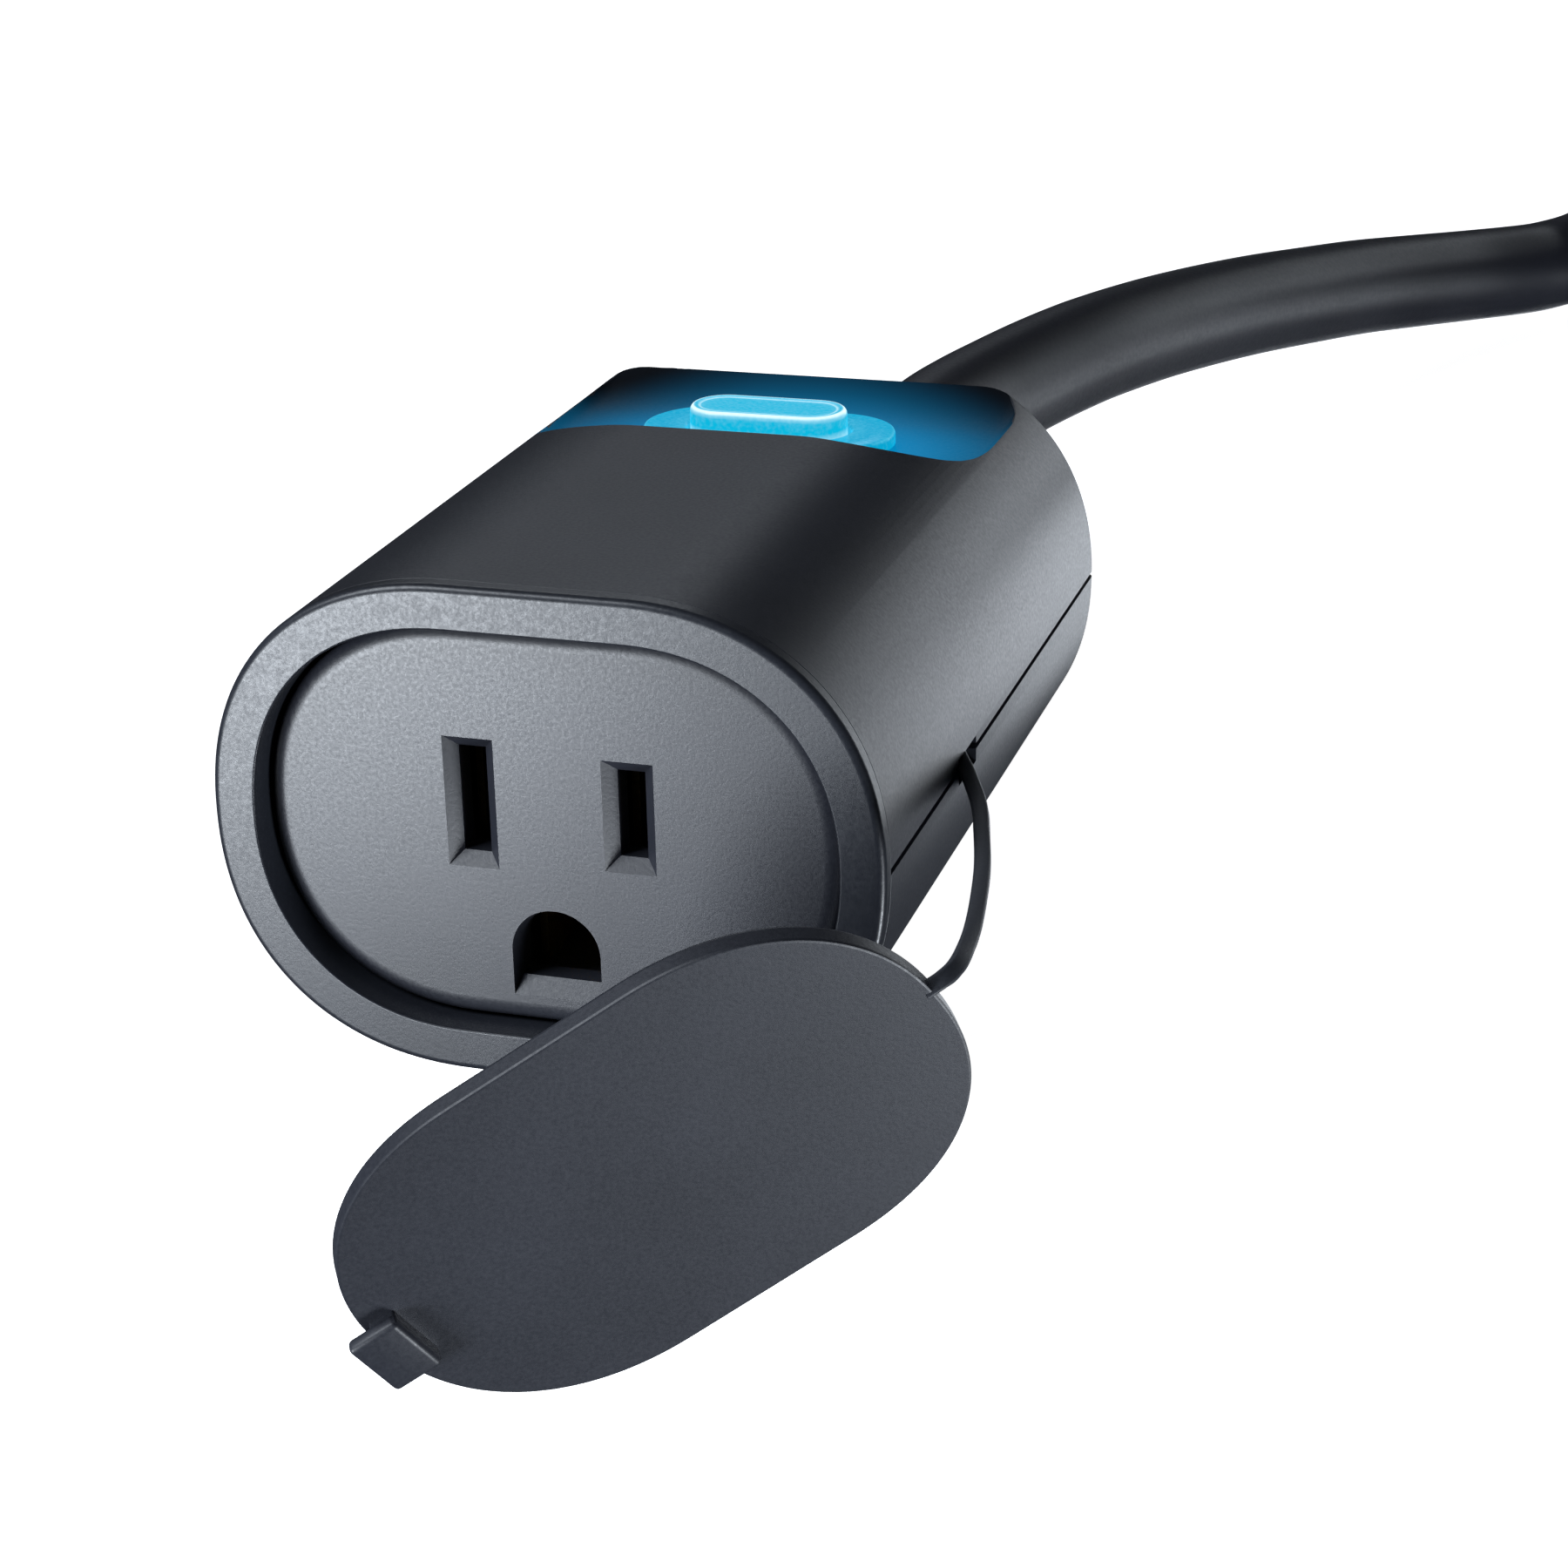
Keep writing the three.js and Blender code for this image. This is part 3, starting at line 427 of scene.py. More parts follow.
rear_round = 0.9
shell_profile = [(0.04, shell_front), (0.0, shell_front + 0.04), (0.0, shell_rear - rear_round)]
shell_profile += [(rear_round * (1 - math.cos(t)), shell_rear - rear_round * (1 - math.sin(t)))
                  for t in np.radians((22, 45, 68, 90))]
recess_half, recess_front, recess_floor, recess_fillet = 21.0, 7.5, 34.4, 2.2
recess_corner_x, recess_corner_y = 11, 16
recess_end = shell_rear + 9.0
recess_lip, lip_run = 36.75, 7.0


def floor_height(y):
    climb = min(1.5, max(0.0, (y - (shell_rear - lip_run)) / lip_run))
    return recess_floor + (recess_lip - recess_floor) * climb ** 2


def recess_outline():
    points = [(recess_half, recess_end), (-recess_half, recess_end)]
    for start, centre in ((180, -recess_half + recess_corner_x), (270, recess_half - recess_corner_x)):
        for t in np.radians(np.linspace(start, start + 90, 22)):
            points.append((centre + recess_corner_x * math.cos(t),
                           recess_front + recess_corner_y + recess_corner_y * math.sin(t)))
    dense = []
    for (x0, y0), (x1, y1) in zip(points, points[1:] + points[:1]):
        count = max(1, int(math.hypot(x1 - x0, y1 - y0) / 1.2))
        dense += [(x0 + (x1 - x0) * k / count, y0 + (y1 - y0) * k / count) for k in range(count)]
    return np.array(dense)


def recess_tool():
    """The block cut away for the recess: its rings close in on the middle and rise in a fillet at the wall."""
    outline = recess_outline()
    centre, tool_top = np.array((0.0, 24.0)), 46
    following = np.roll(outline, -1, axis=0) - outline
    span = (following ** 2).sum(1)
    rings = [[(x * MM, y * MM, tool_top * MM) for x, y in outline]]
    for share in (1.0, 0.995, 0.985, 0.97, 0.955, 0.94, 0.92, 0.9, 0.87, 0.83, 0.77, 0.7, 0.6, 0.5, 0.4, 0.3, 0.2,
                  0.1, 0.03):
        ring = []
        for x, y in centre + (outline - centre) * share:
            along = np.clip((((x, y) - outline) * following).sum(1) / np.maximum(span, 1e-9), 0, 1)
            wall_gap = np.linalg.norm(outline + following * along[:, None] - (x, y), axis=1).min()
            rise = recess_fillet - math.sqrt(max(0.0, recess_fillet ** 2 - max(0.0, recess_fillet - wall_gap) ** 2))
            ring.append((x * MM, y * MM, (floor_height(y) + rise) * MM))
        rings.append(ring)
    tool = loft("recess_tool", rings)
    work = bmesh.new()
    work.from_mesh(tool.data)
    bmesh.ops.triangulate(work, faces=work.faces)
    work.to_mesh(tool.data)
    work.free()
    return tool


def stadium_rod(name, length, width, low, high):
    ring = []
    for start, centre in ((-90, (length - width) / 2), (90, -(length - width) / 2)):
        for t in np.radians(np.linspace(start, start + 180, 25)):
            ring.append((centre + width / 2 * math.cos(t), button_middle + width / 2 * math.sin(t)))
    return loft(name, [[(a * MM, b * MM, z * MM) for a, b in ring] for z in (low, high)])


def half_shell(name, low, high):
    """One shell between two heights, hollow, with its screw bosses and the holes for the boot and the tether."""
    half = loft(name, [section(inset, y) for inset, y in shell_profile])
    cavity = loft("cavity", [section(shell_wall, shell_front - 1), section(shell_wall, shell_rear - shell_wall)])
    if high > body_middle + 1:
        combine(cavity, slab("under_recess", (-23, 5.5, 32.4), (23, 40, 45)))
    combine(half, cavity)
    limit = loft("limit", [section(1.0, shell_front), section(1.0, shell_rear - 0.5)])
    for place in screw_places:
        boss = combine(rod("boss", place, boss_radius, 0.6, 39), limit, "INTERSECT", keep=True)
        combine(half, boss, "UNION")
    bpy.data.objects.remove(limit)
    combine(half, slab("part_line", (-40, -60, low), (40, 60, high)), "INTERSECT")
    combine(half, rod("boot_hole", (0, body_middle), 8.8, 30, 40, "Y", 72))
    combine(half, slab("tether_mouth", (24.2, -14.6, 18.5), (30, -9.0, 20.7)))
    return half


upper_shell = half_shell("upper_shell_abs", 20.05, 50.0)
combine(upper_shell, recess_tool())
combine(upper_shell, stadium_rod("ring_hole", 18.2, 10.2, 24, 45))
lower_shell = half_shell("lower_shell_abs", -5.0, 19.55)
for place in screw_places:
    combine(upper_shell, rod("screw_hole", place, hole_radius, 18, 28.3))
    combine(lower_shell, rod("screw_pocket", place, pocket_radius, -2, 8.3))
    combine(lower_shell, rod("screw_hole", place, hole_radius, 2, 22))

# ABS with a spark-eroded texture: satin slate grey, drawn at 0.3 mm so that the texture shows.
abs_slate = moulded("textured_abs_slate", "#24262d", "#2e3038", 0.40, 0.3, 0.012)
# The same ABS in the recess: its darker colour is painted shade, and the button's light on it is a painted blue
# glow that fades out towards the recess's edge.
abs_painted_shade_and_glow = moulded("textured_abs_recess_painted_shade_and_glow", "#070a10", "#0b1017", 0.55, 0.3, 0.01)
painted_glow_tree = abs_painted_shade_and_glow.node_tree
painted_glow_shader = next(n for n in painted_glow_tree.nodes if n.type == "BSDF_PRINCIPLED")
painted_glow_coords = add_node(painted_glow_tree, "ShaderNodeTexCoord").outputs["Object"]
painted_glow_local = add_node(painted_glow_tree, "ShaderNodeMapping", {"vector_type": "TEXTURE"},
                     {"Vector": painted_glow_coords, "Location": (1 * MM, 20.5 * MM, 35 * MM),
                      "Scale": (25 * MM, 17 * MM, 12 * MM)})
painted_glow_far = add_node(painted_glow_tree, "ShaderNodeVectorMath", {"operation": "LENGTH"}, {0: painted_glow_local.outputs[0]})
painted_glow_fade = add_node(painted_glow_tree, "ShaderNodeMapRange", {"interpolation_type": "SMOOTHSTEP"},
                    {"Value": painted_glow_far.outputs["Value"], "From Min": 1.15, "From Max": 0.25,
                     "To Min": 0.0, "To Max": 1.0})
# Painted glow: the emission is strongest near the button and fades out across the recess.
painted_glow_tree.links.new(painted_glow_fade.outputs[0], painted_glow_shader.inputs["Emission Strength"])
painted_glow_shader.inputs["Emission Color"].default_value = linear("#008ac4")
painted_glow_shader.inputs["Specular IOR Level"].default_value = 0.1

for shell, node_name in ((upper_shell, "upper_shell"), (lower_shell, "lower_shell")):
    shell.data.materials.clear()
    shell.data.materials.append(abs_slate)
    smooth(shell, 28)
    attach(shell, "housing")
    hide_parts(node_name)
upper_shell.data.materials.append(abs_painted_shade_and_glow)


def crown(x):
    """Height of the housing's outer surface at one x."""
    across = max(0.0, (abs(x) - body_flat) / (body_half - body_flat))
    return body_middle + body_rise * max(0.0, 1 - across ** section_power) ** (1 / section_power)


# The recess's faces take the second material, with its painted shade and painted blue glow.
for face in upper_shell.data.polygons:
    x, y, z = face.center / MM
    inside_plan = y > recess_front - 0.2 and abs(x) < recess_half + 0.2
    if inside_plan and 34.0 < z < crown(x) - 0.15 and face.normal.z > 0.02:
        face.material_index = 1


# ---------------------------------------------------------------- front bezel
# A separate ABS rim that plugs into the front of both shells and hides their seam.
# Its outer edge is softly rounded, and the dust cap seats inside it.
def arc(inset, y, radius, start, end, steps=6):
    """Profile points on a rounded corner, as (inset, y); the angles are in degrees."""
    return [(inset + radius * math.cos(t), y + radius * math.sin(t))
            for t in np.radians(np.linspace(start, end, steps))]


rim_front, rim_rear, collar_rear = -36.5, -34.93, -30.5
rim_width, collar_inset = 3.45, 2.3
bezel_profile = ([(0.0, rim_rear), (0.0, -35.85)] + arc(0.6, -35.9, 0.6, 180, 270, 8)
                 + [(0.64, rim_front), (3.29, rim_front)] + arc(3.33, -36.38, 0.12, 270, 360, 4)
                 + [(rim_width, -36.3), (rim_width, collar_rear), (collar_inset, collar_rear),
                    (collar_inset, rim_rear)])
bezel = loft("front_bezel_abs", [section(inset, y) for inset, y in bezel_profile], closed=True, angle=40)
abs_rim = moulded("textured_abs_rim", "#22242b", "#2d3037", 0.35, 0.3, 0.015)
bezel.data.materials.append(abs_rim)
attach(bezel, "housing")
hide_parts("front_bezel")


# ---------------------------------------------------------------- socket face
# One moulded insert with a softly rounded edge, standing back from the rim.
# Each blade slot opens through a sloped mouth, and the ground hole is a D with a sloped sill.
def tapered(name, front_outline, rear_outline, front_y, rear_y):
    return loft(name, [[(x * MM, y * MM, z * MM) for x, z in outline]
                       for outline, y in ((front_outline, front_y), (rear_outline, rear_y))])


def rectangle(x, z, width, height):
    return [(x - width / 2, z - height / 2), (x + width / 2, z - height / 2),
            (x + width / 2, z + height / 2), (x - width / 2, z + height / 2)]


slot_side, slot_middle, ground_middle = 6.35, 21.6, 9.7


def d_outline(radius, sill):
    curve = [(radius * math.cos(t), ground_middle + radius * math.sin(t)) for t in np.linspace(0, math.pi, 33)]
    return curve + [(-radius, ground_middle - sill), (radius, ground_middle - sill)]


face_front, face_rear, face_inset = -34.2, -31.2, 3.75
edge_width, edge_depth = 1.5, 0.8
face_flat = face_inset + edge_width
socket_profile = [(face_inset, face_rear)] + [
    (face_inset + edge_width * (1 - math.cos(t)), face_front + edge_depth * (1 - math.sin(t)))
    for t in np.radians(np.linspace(0, 90, 11))] + [(face_flat + 0.05, face_front), (face_flat + 0.15, face_front)]
socket_face = loft("socket_face_abs", [section(inset, y) for inset, y in socket_profile])
for slot_x, slot_height in ((-slot_side, 8.6), (slot_side, 7.0)):
    mouth = rectangle(slot_x, slot_middle, 4.5, slot_height + 2.4)
    throat = rectangle(slot_x, slot_middle, 2.2, slot_height)
    combine(socket_face, tapered("slot_mouth", mouth, throat, face_front - 0.2, face_front + 1.0))
    combine(socket_face, tapered("slot", throat, throat, face_front, face_rear + 1))
ground_mouth, ground_throat = d_outline(3.66, 4.0), d_outline(3.3, 2.5)
combine(socket_face, tapered("ground_mouth", ground_mouth, ground_throat, face_front - 0.2, face_front + 1.1))
combine(socket_face, tapered("ground_hole", ground_throat, ground_throat, face_front, face_rear + 1))
abs_face = moulded("textured_abs_face", "#23252c", "#2f3139", 0.35, 0.3, 0.015)
socket_face.data.materials.clear()
socket_face.data.materials.append(abs_face)
smooth(socket_face, 28)
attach(socket_face, "housing")
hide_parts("socket_face")


# ---------------------------------------------------------------- power button and light ring
# Both are clear blue polycarbonate, lit from below by two lamps on the button board.
# The flats glow blue with the lamps' light; the moulded edges glow brighter, partly from that light gathering there
# and partly as a painted highlight that turns them nearly white.
def stadium_ring(length, width, z):
    ring = []
    for start, way in ((-90, 1), (90, -1)):
        for t in np.radians(np.linspace(start, start + 180, 24)):
            ring.append(((way * (length - width) / 2 + width / 2 * math.cos(t)) * MM,
                         (button_middle + width / 2 * math.sin(t)) * MM, z * MM))
    return ring


def lit_plastic(name, deep, highlight_tint, low, high, edge):
    """Clear lit plastic: an attribute runs from deep blue, the lamps' light, to near white, a painted highlight on
    the edges.
    """
    made = bpy.data.materials.new(name)
    made.use_nodes = True
    tree = made.node_tree
    tree.nodes.clear()
    place = add_node(tree, "ShaderNodeTexCoord").outputs["Object"]
    speck = add_node(tree, "ShaderNodeTexNoise", inputs={"Vector": place, "Scale": 2600.0, "Detail": 1.0})
    glow_and_highlight = add_node(tree, "ShaderNodeAttribute", {"attribute_name": "glow_and_highlight"})
    grain = add_node(tree, "ShaderNodeMath", {"operation": "MULTIPLY_ADD"},
                     {0: speck.outputs["Fac"], 1: edge, 2: glow_and_highlight.outputs["Fac"]})
    level = add_node(tree, "ShaderNodeMath", {"operation": "SUBTRACT", "use_clamp": True},
                     {0: grain.outputs[0], 1: edge / 2})
    tint = add_node(tree, "ShaderNodeMix", {"data_type": "RGBA"},
                    {"Factor": level.outputs[0], 6: linear(deep), 7: linear(highlight_tint)})
    power = add_node(tree, "ShaderNodeMapRange", inputs={"Value": level.outputs[0], "To Min": low, "To Max": high})
    shader = add_node(tree, "ShaderNodeBsdfPrincipled",
                      inputs={"Base Color": linear("#02222c"), "Roughness": 0.25, "IOR": 1.58,
                              "Specular IOR Level": 0.2, "Emission Color": tint.outputs[2],
                              "Emission Strength": power.outputs[0]})
    add_node(tree, "ShaderNodeOutputMaterial", inputs={"Surface": shader.outputs[0]})
    return made


def glowing(name, rows, material, closed=False):
    """rows hold (length, width, z, glow) for each ring of the piece; a vertex takes its nearest ring's glow, whose
    high values are a painted highlight.
    """
    half_straight = 4
    piece = loft(name, [stadium_ring(length, width, z) for length, width, z, _ in rows], material, closed)
    marks = piece.data.attributes.new("glow_and_highlight", "FLOAT", "POINT")
    table = np.array([(length, z, glow_and_highlight) for length, width, z, glow_and_highlight in rows])
    values = []
    for vertex in piece.data.vertices:
        x, y, z = vertex.co / MM
        length = 2 * max(abs(x), math.hypot(max(0, abs(x) - half_straight), y - button_middle) + half_straight)
        values.append(table[np.argmin(np.abs(table[:, 1] - z) * 2 + np.abs(table[:, 0] - length)), 2])
    marks.data.foreach_set("value", values)
    return piece


lens_button = lit_plastic("clear_polycarbonate_button", "#0cc0e8", "#e2fcff", 0.9, 1.15, 0.2)
# The high values on the top edge ring and the inner outline are a painted highlight.
button_rows = [(16.6, 8.6, 30.3, 0), (16.6, 8.6, 31.1, 0), (14.4, 6.4, 31.1, 0), (14.4, 6.4, 35.6, 0.35),
               (14.4, 6.4, 36.2, 0.0), (14.4, 6.4, 37.1, 0.05), (14.3, 6.3, 37.4, 0.35), (14.05, 6.05, 37.6, 0.95),
               (13.8, 5.8, 37.7, 0.9), (13.5, 5.5, 37.7, 0.1), (13.1, 5.1, 37.66, 0.05), (12.6, 4.6, 37.62, 0.55),
               (12.3, 4.3, 37.62, 0.1), (11.0, 3.0, 37.62, 0.05)]
button = glowing("power_button_lens", button_rows, lens_button)
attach(button, "button")
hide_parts("power_button")

lens_ring = lit_plastic("clear_polycarbonate_ring", "#06b2e0", "#86ecff", 0.85, 1.0, 0.4)
# The higher values on the ring's rim edges are partly a painted highlight.
ring_rows = [(15.1, 7.1, 31.4, 0.1), (17.6, 9.6, 31.4, 0.1), (17.6, 9.6, 34.7, 0.1), (23.0, 12.0, 34.7, 0.0),
             (23.0, 12.0, 35.5, 0.0), (22.8, 11.8, 35.72, 0.3), (22.4, 11.4, 35.8, 0.08), (19.0, 9.3, 35.8, 0.05),
             (15.5, 7.5, 35.8, 0.15), (15.1, 7.1, 35.6, 0.1)]
light_ring = glowing("light_ring_lens", ring_rows, lens_ring, closed=True)
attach(light_ring, "housing")
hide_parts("light_ring")


# ---------------------------------------------------------------- dust cap
# A soft rubber cap with a fine grain, cut to the rim's opening, with a pull tab at its far end.
# It hangs open from the tether and is pressed into the rim when the socket is not in use.
cap_joint = Vector((36.26, -50.79, 20.03))
cap_tilt = (Matrix.Rotation(math.radians(32.918), 3, "X") @ Matrix.Rotation(math.radians(-19.387), 3, "Y")
            @ Matrix.Rotation(math.radians(33.656), 3, "Z"))


def hung(point):
    """From the cap's own millimetres to the row frame."""
    return (cap_tilt @ Vector(point) + cap_joint) * MM


cap_edge, cap_half_length = -2.2, 23.05
cap_centre = cap_edge - cap_half_length
cap_profile = [(4.15, 0.8), (4.05, 0.8), (3.85, 0.72), (3.75, 0.5), (3.75, 0.45), (3.75, -0.55), (3.75, -0.62),
               (3.81, -0.75), (3.93, -0.8), (3.97, -0.8), (4.05, -0.8)]
cap_rings = [[hung((x / MM + cap_centre, y / MM, z / MM)) for x, y, z in section(inset, y, 0.0)]
             for inset, y in cap_profile]
cap = loft("dust_cap_rubber", cap_rings, angle=50)


def pillow(name, low, high, edge):
    """A block with rounded edges, in the cap's own millimetres."""
    work = bmesh.new()
    bmesh.ops.create_cube(work, size=1.0)
    for vertex in work.verts:
        vertex.co = Vector([low[k] + (vertex.co[k] + 0.5) * (high[k] - low[k]) for k in range(3)])
    bmesh.ops.bevel(work, geom=work.edges[:], offset=edge, segments=4, affect="EDGES", profile=0.5)
    vertices = [hung(v.co) for v in work.verts]
    faces = [[v.index for v in f.verts] for f in work.faces]
    work.free()
    return mesh_piece(name, vertices, faces, None)


tab_start = cap_edge - 2 * cap_half_length - 1.25
combine(cap, pillow("tab", (tab_start, -2.2, -3.0), (tab_start + 4.0, -1.0, 3.0), 0.42), "UNION")
combine(cap, pillow("tab_root", (tab_start + 1.9, -2.0, -2.9), (tab_start + 4.0, 0.2, 2.9), 0.2), "UNION")
rubber_cap = moulded("grained_rubber_cap", "#26282f", "#33353d", 0.45, 0.32, 0.02)
cap.data.materials.clear()
cap.data.materials.append(rubber_cap)
smooth(cap, 40)
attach(cap, "cap")
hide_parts("dust_cap")


# ---------------------------------------------------------------- tether
# A flat rubber strap, 2.4 mm tall and 1.2 mm thick, moulded with the cap and caught in the side seam.
# It curves from the seam out to the cap's edge and is built as three lengths.
tether_line = [(24.6, -8.6, 19.6), (25.4, -9.9, 19.6), (26.4, -12.1, 19.6), (27.9, -15.4, 19.5),
               (29.9, -20.6, 19.4), (31.4, -25.9, 19.2), (32.7, -31.2, 19.1), (33.8, -36.9, 19.1),
               (34.6, -42.0, 19.2), (35.0, -46.0, 19.4), (35.1, -49.0, 19.6), (34.7, -50.7, 19.5),
               (34.1, -51.5, 19.2), (33.6, -51.9, 18.9)]
tether_path = smooth_line(tether_line, 10)
tether_last = len(tether_path) - 1
strap_lean = np.array((0.21, -0.89, 0.41))


def strap(name, first, last):
    """One length of the strap; its flat side turns from upright at the seam to leaning outward at the cap."""
    rings = []
    for i in range(round(first * tether_last), round(last * tether_last) + 1):
        ahead = tether_path[min(i + 1, tether_last)] - tether_path[max(i - 1, 0)]
        ahead /= np.linalg.norm(ahead)
        up = strap_lean - ahead * (strap_lean @ ahead)
        up /= np.linalg.norm(up)
        out = np.cross(ahead, up)
        tall, thick, corner = 0.9 + 0.3 * min(1.0, i / tether_last / 0.3), 0.62, 0.2
        ring = []
        for sx, sz in ((1, 1), (-1, 1), (-1, -1), (1, -1)):
            turns = (0, 45, 90) if sx * sz > 0 else (90, 45, 0)
            for t in np.radians(turns):
                a = sx * (thick - corner + corner * math.cos(t))
                b = sz * (tall - corner + corner * math.sin(t))
                ring.append(tuple(tether_path[i] + (out * a + up * b) * MM))
        rings.append(ring)
    return loft(name, rings, rubber_strap, angle=50)


rubber_strap = moulded("grained_rubber_tether", "#30333a", "#3f424a", 0.55, 0.3, 0.01)
for name, first, last, bodies, span, node_name in (
        ("tether_root", 0.0, 0.64, ("housing", "tether_tip"), (0.5, 0.64), "tether_strap"),
        ("tether_middle", 0.64, 0.84, ("tether_tip", "tether_end"), (0.66, 0.84), "tether_strap_tip"),
        ("tether_end_piece", 0.84, 1.0, ("tether_end", "cap"), (0.84, 0.92), "tether_lug")):
    piece = strap(name, first, last)
    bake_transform(piece)
    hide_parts(node_name)


# ---------------------------------------------------------------- housing screws
# Four pan-head steel screws, sunk into the underside, pull the two shells together.
# Each has a cross recess for the driver.
def screws(tree, material):
    sizes = {"Across": 39 * MM, "Along": 50 * MM, "Middle": 1 * MM, "Head low": 5.8 * MM,
             "Head radius": 2.6 * MM, "Head height": 2.2 * MM, "Shank radius": 1.4 * MM,
             "Shank length": 18.8 * MM, "Recess width": 0.6 * MM, "Recess length": 2.8 * MM,
             "Recess depth": 1.2 * MM}
    given = named_inputs(tree, sizes)
    grid = add_node(tree, "GeometryNodeMeshGrid",
                    inputs={"Size X": given["Across"], "Size Y": given["Along"], "Vertices X": 2, "Vertices Y": 2})
    lift = add_node(tree, "ShaderNodeCombineXYZ", inputs={"Y": given["Middle"], "Z": given["Head low"]})
    moved = add_node(tree, "GeometryNodeTransform",
                     inputs={"Geometry": grid.outputs[0], "Translation": lift.outputs[0]})

    def standing(radius, height, base, sides):
        bar = add_node(tree, "GeometryNodeMeshCylinder",
                       inputs={"Vertices": sides, "Radius": radius, "Depth": height})
        centre = add_node(tree, "ShaderNodeMath", {"operation": "MULTIPLY_ADD"}, {0: height, 1: 0.5, 2: base})
        up = add_node(tree, "ShaderNodeCombineXYZ", inputs={"Z": centre.outputs[0]})
        return add_node(tree, "GeometryNodeTransform",
                        inputs={"Geometry": bar.outputs[0], "Translation": up.outputs[0]}).outputs[0]

    head = standing(given["Head radius"], given["Head height"], 0.0, 40)
    shank = standing(given["Shank radius"], given["Shank length"], 2 * MM, 24)
    whole = add_node(tree, "GeometryNodeMeshBoolean", {"operation": "UNION"})
    tree.links.new(head, whole.inputs["Mesh 2"])
    tree.links.new(shank, whole.inputs["Mesh 2"])
    depth = add_node(tree, "ShaderNodeMath", {"operation": "MULTIPLY"}, {0: given["Recess depth"], 1: 2.0})
    cross = []
    for first, second in (("Recess length", "Recess width"), ("Recess width", "Recess length")):
        size = add_node(tree, "ShaderNodeCombineXYZ",
                        inputs={"X": given[first], "Y": given[second], "Z": depth.outputs[0]})
        cross.append(add_node(tree, "GeometryNodeMeshCube", inputs={"Size": size.outputs[0]}).outputs[0])
    cut = add_node(tree, "GeometryNodeMeshBoolean", {"operation": "DIFFERENCE"}, {"Mesh 1": whole.outputs[0]})
    for bar in cross:
        tree.links.new(bar, cut.inputs["Mesh 2"])
    placed = add_node(tree, "GeometryNodeInstanceOnPoints",
                      inputs={"Points": moved.outputs[0], "Instance": cut.outputs[0]})
    close_tree(tree, placed.outputs[0], material)
    return sizes


screw_steel = moulded("zinc_plated_steel", "#8c8e90", "#b4b6b8", 0.32, 0.4, 0.002, metallic=1.0)
housing_screws = grow_nodes("housing_screws", screws, screw_steel)
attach(housing_screws, "housing")
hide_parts("housing_screw_front_left", "housing_screw_front_right", "housing_screw_rear_left",
            "housing_screw_rear_right")


# ---------------------------------------------------------------- inside the housing
# The contacts, the circuit boards and their parts, the wires and the cord clamp keep their own solids.
# Each takes the finish of the real thing: stamped brass, solder mask, moulded nylon, steel and PVC.
stamped_brass = moulded("stamped_brass", "#9c8550", "#bca468", 0.34, 0.5, 0.003, metallic=1.0)
nylon = moulded("moulded_nylon", "#26272c", "#303137", 0.6, 0.4, 0.006)
silicone = moulded("silicone_seal", "#15161a", "#1d1e22", 0.7, 0.4, 0.006)
solder_mask = moulded("solder_mask_on_glass_fibre", "#123f29", "#1c5738", 0.35, 0.8, 0.004)
black_case = moulded("moulded_epoxy_black", "#17181b", "#212226", 0.5, 0.3, 0.005)
blue_case = moulded("moulded_relay_case", "#21509a", "#2d61b0", 0.42, 0.4, 0.004)
yellow_case = moulded("polyester_tape", "#c99b27", "#dcb343", 0.4, 0.5, 0.003)
white_case = moulded("glazed_ceramic", "#d9d7cf", "#efede6", 0.25, 0.6, 0.002)
green_case = moulded("green_pvc_insulation", "#256a3a", "#33804a", 0.4, 0.4, 0.003)
inside = {
    stamped_brass: ("neutral_contact", "line_contact", "ground_contact"),
    nylon: ("contact_carrier", "cord_clamp"),
    silicone: ("face_gasket",),
    solder_mask: ("main_board", "button_board"),
    black_case: ("bulk_capacitor", "tact_switch_plunger", "line_wire"),
    blue_case: ("relay", "varistor"),
    yellow_case: ("power_transformer", "filter_capacitor"),
    white_case: ("fuse", "neutral_wire", "status_led_left", "status_led_right"),
    green_case: ("ground_wire",),
    screw_steel: ("radio_module", "tact_switch_body", "board_screw_front", "board_screw_rear", "clamp_screw_left",
                  "clamp_screw_right"),
    pvc: ("cord_jacket_end",),
}
for finish, names in inside.items():
    for name in names:
        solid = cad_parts[name]
        if not solid.material_slots:
            solid.data.materials.append(finish)
        for place in solid.material_slots:
            place.material = finish


# ---------------------------------------------------------------- stage and light
# The housing lies on a white ledge that ends behind the front face, so the cap can hang before it.
# Soft lamps stand front left, over the left side, under the right side and low and high behind,
# and give each side of the housing its own broad highlight, as in a product studio.
ledge_front, ledge_top, lower_floor, reach, bevel = -30.0, -0.4, -70.0, 3000.0, 1.5
stage_profile = [(reach, ledge_top), (ledge_front, ledge_top), (ledge_front - bevel, ledge_top - bevel),
                 (ledge_front - bevel, lower_floor), (-reach, lower_floor)]
stage_points = [Vector((x, y, z)) * MM for y, z in stage_profile for x in (-reach, reach)]
stage = mesh_piece("white_ledge", stage_points, [(k, k + 2, k + 3, k + 1) for k in (0, 2, 4, 6)], None)
white_board = bpy.data.materials.new("white_painted_board")
white_board.use_nodes = True
board_shader = white_board.node_tree.nodes["Principled BSDF"]
board_shader.inputs["Base Color"].default_value = (0.9, 0.9, 0.9, 1)
board_shader.inputs["Roughness"].default_value = 0.9
board_shader.inputs["Emission Color"].default_value = (1, 1, 1, 1)
board_shader.inputs["Emission Strength"].default_value = 0.97
stage.data.materials.append(white_board)
stage.visible_glossy = False
stage.visible_diffuse = False
stage.visible_shadow = False


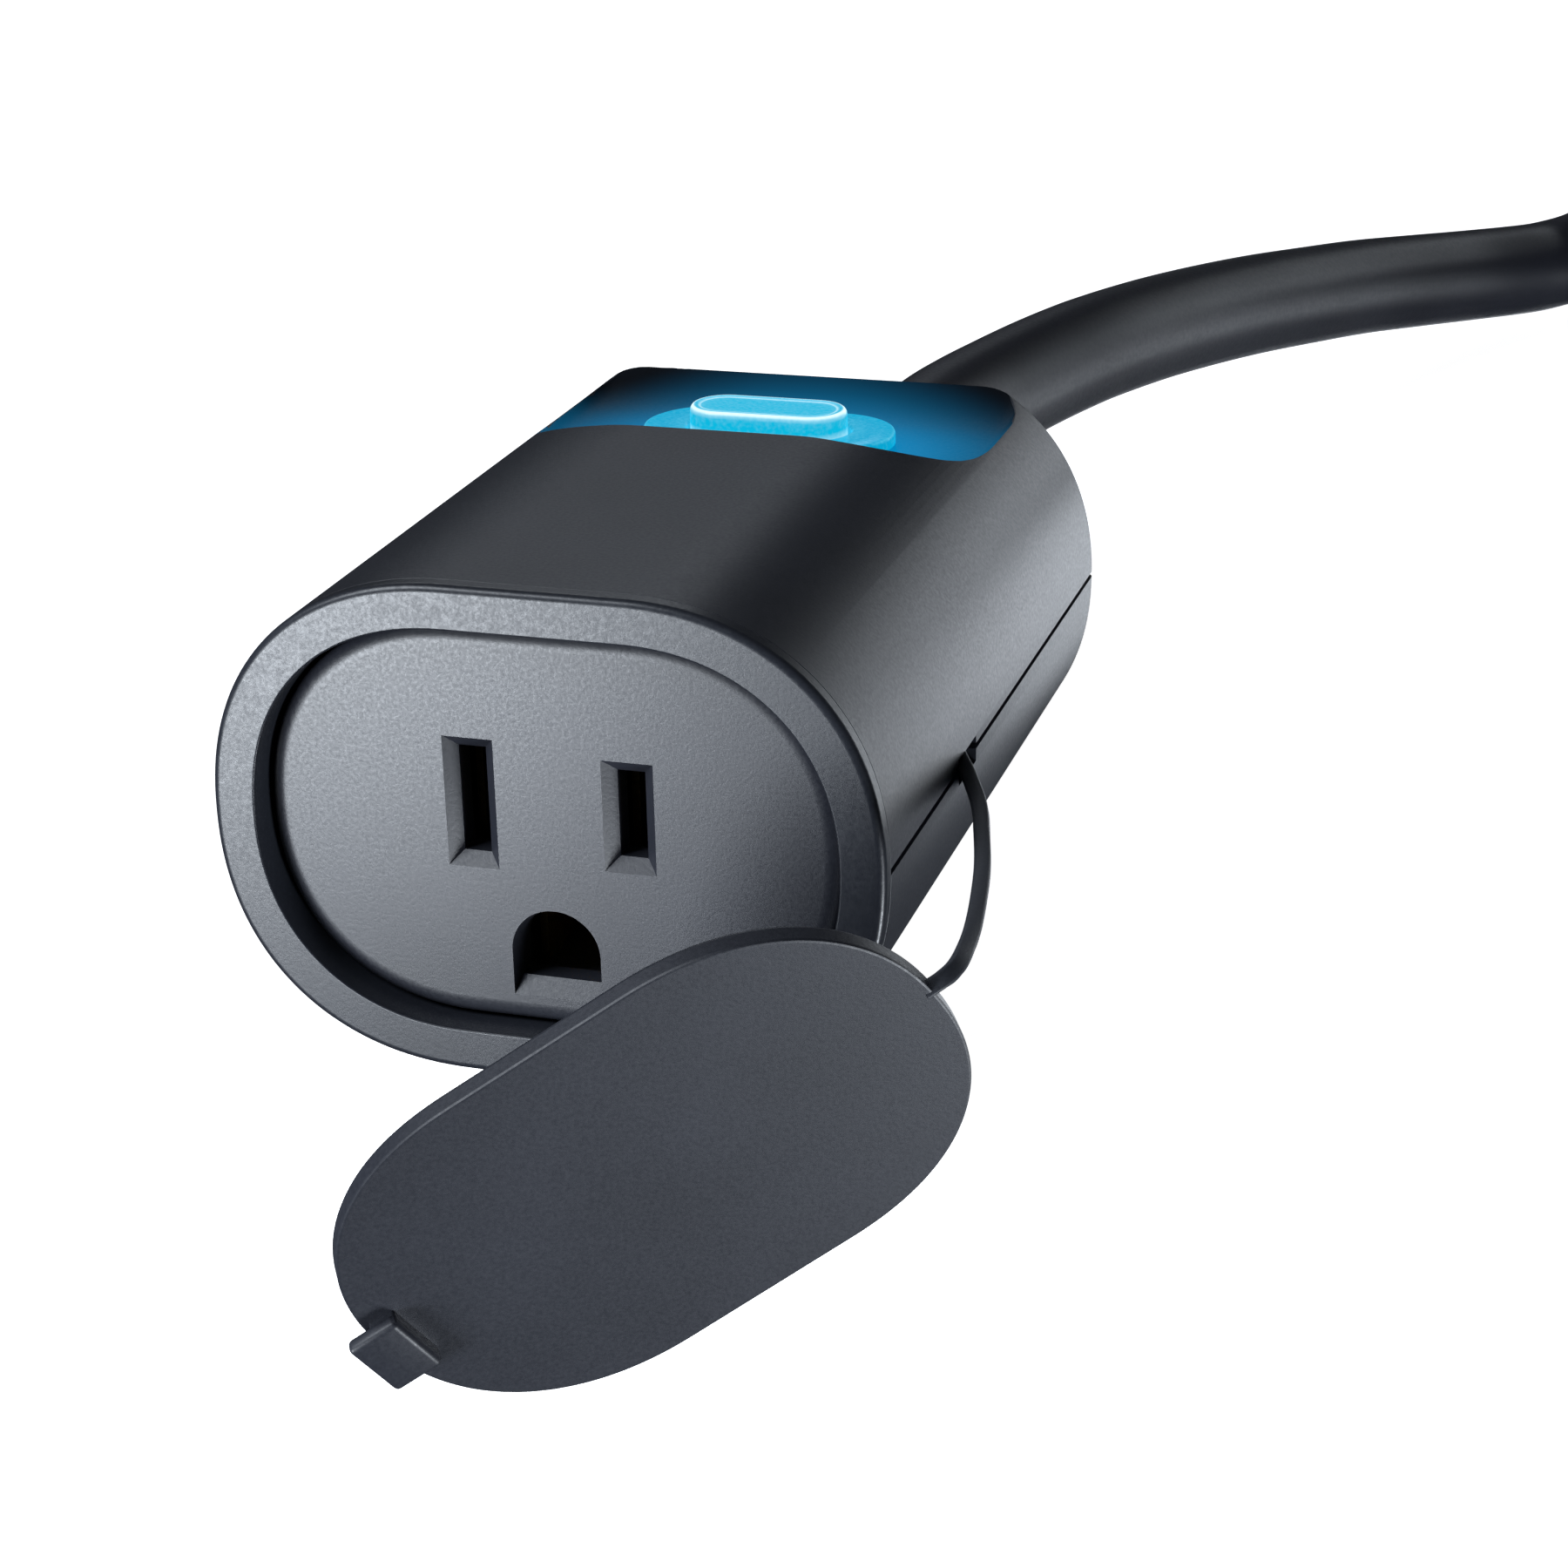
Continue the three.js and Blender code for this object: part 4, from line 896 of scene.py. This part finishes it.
def soft_lamp(name, place, target, width, height, power):
    """A rectangular lamp turned to its target; places and sizes are in metres, power in watts."""
    lamp = bpy.data.lights.new(name, "AREA")
    lamp.shape = "RECTANGLE"
    lamp.size = width
    lamp.size_y = height
    lamp.energy = power
    lamp.color = (0.87, 0.93, 1.0)
    made = bpy.data.objects.new(name, lamp)
    made.location = place
    made.rotation_euler = (Vector(target) - Vector(place)).to_track_quat("-Z", "Y").to_euler()
    made.visible_camera = False
    bpy.context.scene.collection.objects.link(made)


soft_lamp("front_left", (-0.18, -0.36, -0.06), (0, -0.036, 0.02), 0.12, 0.12, 1.45)
soft_lamp("behind_right_low", (0.40, 0.69, -0.08), (0.02, 0, 0.02), 0.50, 0.30, 0.85)
soft_lamp("behind_right", (0.30, 0.75, 0.12), (0.02, 0, 0.02), 0.40, 0.25, 0.52)
soft_lamp("behind_low", (0.05, 0.80, -0.18), (0, 0, 0.02), 0.40, 0.25, 0.75)
soft_lamp("behind_left_high", (-0.26, 0.62, 0.42), (0.01, 0.12, 0.02), 0.36, 0.12, 0.30)
soft_lamp("under_right", (0.50, -0.18, -0.36), (0.017, -0.059, 0.006), 0.18, 0.18, 3.2)
soft_lamp("over_left", (-0.45, -0.40, 0.60), (0, 0, 0.02), 0.40, 0.40, 5.0)

world = bpy.data.worlds.new("studio")
bpy.context.scene.world = world
world.use_nodes = True
sky = world.node_tree
sky.nodes.clear()
seen = add_node(sky, "ShaderNodeBackground", inputs={"Color": (1, 1, 1, 1), "Strength": 1.0})
cast = add_node(sky, "ShaderNodeBackground", inputs={"Color": (0.92, 0.96, 1.0, 1), "Strength": 0.02})
rays = add_node(sky, "ShaderNodeLightPath")
either = add_node(sky, "ShaderNodeMixShader",
                  inputs={0: rays.outputs["Is Camera Ray"], 1: cast.outputs[0], 2: seen.outputs[0]})
add_node(sky, "ShaderNodeOutputWorld", inputs={"Surface": either.outputs[0]})
bpy.context.scene.view_settings.view_transform = "Standard"
bpy.context.scene.view_settings.look = "None"

bpy.context.view_layer.update()
